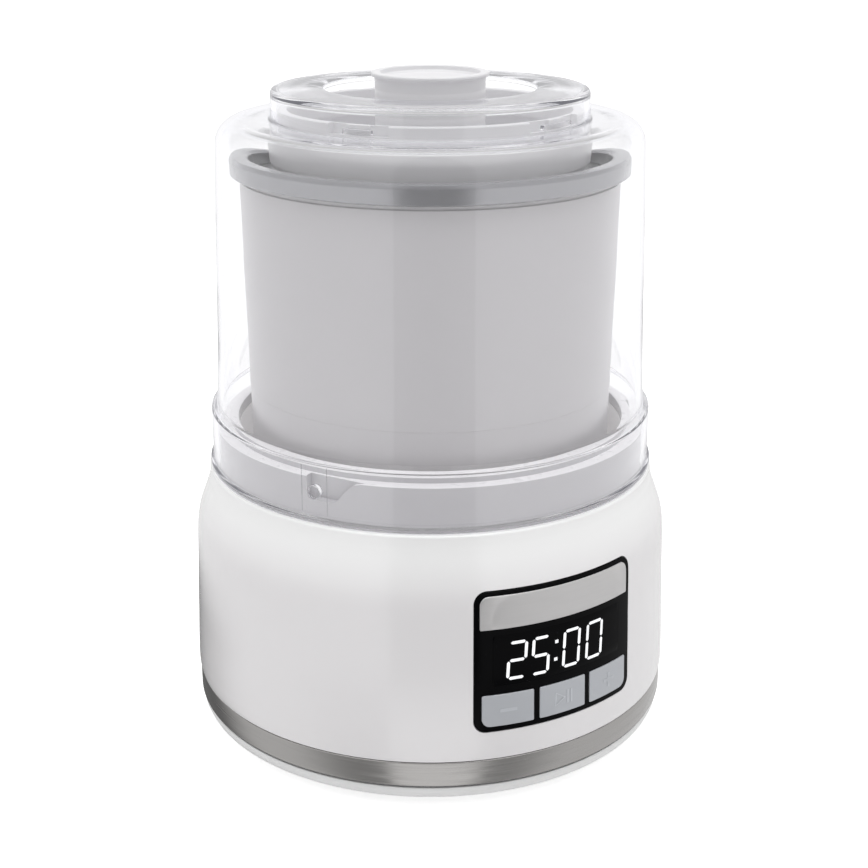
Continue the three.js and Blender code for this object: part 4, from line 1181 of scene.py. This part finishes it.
def studio_light(g, direction):
    """Light of the white studio along a direction, by kind of ray.

    Even white behind and beside the object, dimmer in front, and, for mirror rays only,
    a dark gap between two large soft boxes in front of it and a pool of light overhead.
    Returns the level, the ray kinds, the azimuth from the camera's side, the angle from
    the gap's centre, and a mask of mirror rays that leave through the cover.
    """
    ahead = g.vector_math("DOT_PRODUCT", direction, tuple(VIEW))
    side = g.vector_math("DOT_PRODUCT", direction, tuple(RIGHT))
    azimuth = g.math("ARCTAN2", side, g.math("MULTIPLY", ahead, -1.0))
    from_gap = g.math("ABSOLUTE", g.math("ADD", azimuth, -GAP_CENTRE))
    height = g.split_xyz(direction)["Z"]
    rays = g.node("ShaderNodeLightPath").outputs

    soft = g.math("ADD", g.remap(ahead, source=(-1.0, 0.6), to=(SOFT_FRONT, SOFT_BACK)),
                  g.remap(height, source=(0.25, 1.0), to=(0.0, OVERHEAD)))
    pool = g.vector_math("DOT_PRODUCT", direction, POOL_AT)
    shiny = g.math("ADD", g.remap(from_gap, source=GAP_EDGE, to=(GAP, BOX), smooth=True),
                   g.remap(pool, source=(0.62, 0.97), to=(0.0, POOL), smooth=True))
    # light that leaves the clear wall upwards meets a dim ceiling, which draws its edges
    ceiling = g.remap(height, source=(0.10, 0.45), to=(1.0, CEILING), smooth=True)
    inside = g.math("GREATER_THAN", rays["Transmission Depth"], 0.5)
    mirrored = g.mix(inside, shiny, g.math("MULTIPLY", ceiling, EDGE))
    # a mirror ray off something inside the cover leaves through it, and still meets the gap
    bounced = g.math("GREATER_THAN", rays["Glossy Depth"], 0.5)
    crossed = g.math("GREATER_THAN", rays["Transmission Depth"], 3.5)
    deep = g.math("MULTIPLY", g.math("MULTIPLY", bounced, crossed),
                  rays["Is Transmission Ray"])
    behind = g.remap(from_gap, source=GAP_EDGE, to=(GAP, THROUGH), smooth=True)
    through = g.math("MULTIPLY", g.mix(deep, THROUGH, behind), ceiling)

    level = g.mix(rays["Is Glossy Ray"], soft, mirrored)
    level = g.mix(rays["Is Transmission Ray"], level, through)
    level = g.mix(rays["Is Camera Ray"], level, SEEN)
    return level, rays, azimuth, from_gap, deep


def floor_material():
    """White paper; mirror rays find the studio in it, and below it is not there."""
    gap_foot = 1.10                                     # mirrored paper in the gap
    lift, camera_lift, through_lift = 0.17, 0.46, 0.60  # glow added for each kind of ray
    material, g = new_material("studio_floor")
    geometry = g.node("ShaderNodeNewGeometry").outputs
    direction = g.vector_math("MULTIPLY", geometry["Incoming"], (-1, -1, -1), output="Vector")
    level, rays, azimuth, from_gap, deep = studio_light(g, direction)

    # close to the object a mirror ray finds lit paper between the soft boxes and their
    # shaded feet beside it
    distance = g.vector_math("LENGTH", geometry["Position"])
    close = g.remap(distance, source=(0.17, 0.26), to=(1.0, 0.0), smooth=True)
    feet = g.remap(g.math("ABSOLUTE", azimuth), source=(34 * RAD, 72 * RAD),
                   to=(0.36, 0.82), smooth=True)
    far_side = g.remap(azimuth, source=(-92 * RAD, -130 * RAD), to=(1.0, 0.22), smooth=True)
    in_gap = g.remap(from_gap, source=(19.0 * RAD, 24.0 * RAD), to=(1.0, 0.0), smooth=True)
    lit_paper = g.mix(in_gap, g.math("MULTIPLY", feet, far_side), gap_foot)
    mirror = g.mix(close, level, lit_paper)
    card = g.add("ShaderNodeEmission", {
        "Color": (1, 1, 1, 1), "Strength": g.mix(rays["Is Transmission Ray"], mirror, level)})

    fibre = g.add("ShaderNodeTexNoise", {"Scale": 900.0, "Detail": 3.0})
    tone = g.remap(fibre, to=(0.795, 0.805))
    tone = g.add("ShaderNodeCombineXYZ", {"X": tone, "Y": tone, "Z": tone})
    paper = g.add("ShaderNodeBsdfDiffuse", {"Color": tone})
    glow = g.math("ADD", g.math("MULTIPLY", rays["Is Camera Ray"], camera_lift),
                  g.math("MULTIPLY", rays["Is Transmission Ray"], through_lift))
    glow = g.add("ShaderNodeEmission", {"Color": (1, 1, 1, 1),
                                        "Strength": g.math("ADD", glow, lift)})
    lifted = g.add("ShaderNodeAddShader", {0: paper, 1: glow})

    shine = g.math("MAXIMUM", rays["Is Glossy Ray"], deep)
    upper_side = g.mix_shader(shine, lifted, card)
    gone = g.add("ShaderNodeBsdfTransparent")
    g.surface(g.mix_shader(geometry["Backfacing"], upper_side, gone))
    return material


def build_floor():
    half, z = 7, -0.0036
    material = floor_material()
    mesh = bpy.data.meshes.new("floor")
    mesh.from_pydata([(-half, -half, z), (half, -half, z), (half, half, z), (-half, half, z)],
                     [], [(0, 1, 2, 3)])
    floor = bpy.data.objects.new("floor", mesh)
    scene.collection.objects.link(floor)
    mesh.materials.append(material)


def build_world():
    world = bpy.data.worlds.new("studio")
    scene.world = world
    world.use_nodes = True
    g = Graph(world.node_tree)
    direction = g.node("ShaderNodeTexCoord").outputs["Generated"]
    level = studio_light(g, direction)[0]
    background = world.node_tree.nodes["Background"]
    world.node_tree.links.new(level, background.inputs["Strength"])
    background.inputs["Color"].default_value = (1.0, 1.0, 1.0, 1)


def build_light():
    """Soft box high on the camera's side of the object, a little to its right."""
    azimuth, distance, height = 12 * RAD, 0.30, 1.5
    target = Vector((0, 0, 0.15))
    light = bpy.data.lights.new("top_box", "AREA")
    light.shape = "RECTANGLE"
    light.size = light.size_y = 0.95
    light.energy = 7.0
    box = bpy.data.objects.new("top_box", light)
    offset = (-VIEW * math.cos(azimuth) + RIGHT * math.sin(azimuth)) * distance
    box.location = (offset.x, offset.y, height)
    box.visible_glossy = box.visible_transmission = False
    scene.collection.objects.link(box)
    box.rotation_euler = (target - box.location).to_track_quat("-Z", "Y").to_euler()


def build_camera():
    distance, height, pitch = 0.6514, 0.3531, 19.58
    data = bpy.data.cameras.new("camera")
    data.sensor_width = 36
    data.lens = 64.692166
    data.shift_x = 0.0043778802
    data.clip_start, data.clip_end = 0.01, 50
    camera = bpy.data.objects.new("camera", data)
    camera.location = (-VIEW.x * distance, -VIEW.y * distance, height)
    camera.rotation_euler = ((90 - pitch) * RAD, 0, CAMERA_TURN)
    scene.collection.objects.link(camera)
    scene.camera = camera


def set_render():
    scene.view_settings.view_transform = "Standard"
    scene.view_settings.look = "None"
    cycles = scene.cycles
    cycles.max_bounces = 24
    cycles.diffuse_bounces = 4
    cycles.glossy_bounces = 12
    cycles.transmission_bounces = 20
    cycles.transparent_max_bounces = 24
    cycles.caustics_reflective = cycles.caustics_refractive = False


color_cad_parts()
build_housing()
build_collar()
build_well()
build_trim()
build_tray()
build_feet()
build_screws()
build_bezel()
build_panel_inserts()
build_digits()
build_keys()
build_plug(build_cord())
build_bushing()
build_bowl()
build_cover()
build_lid()
build_paddle()
build_filler_cap()
build_floor()
build_world()
build_light()
build_camera()
set_render()
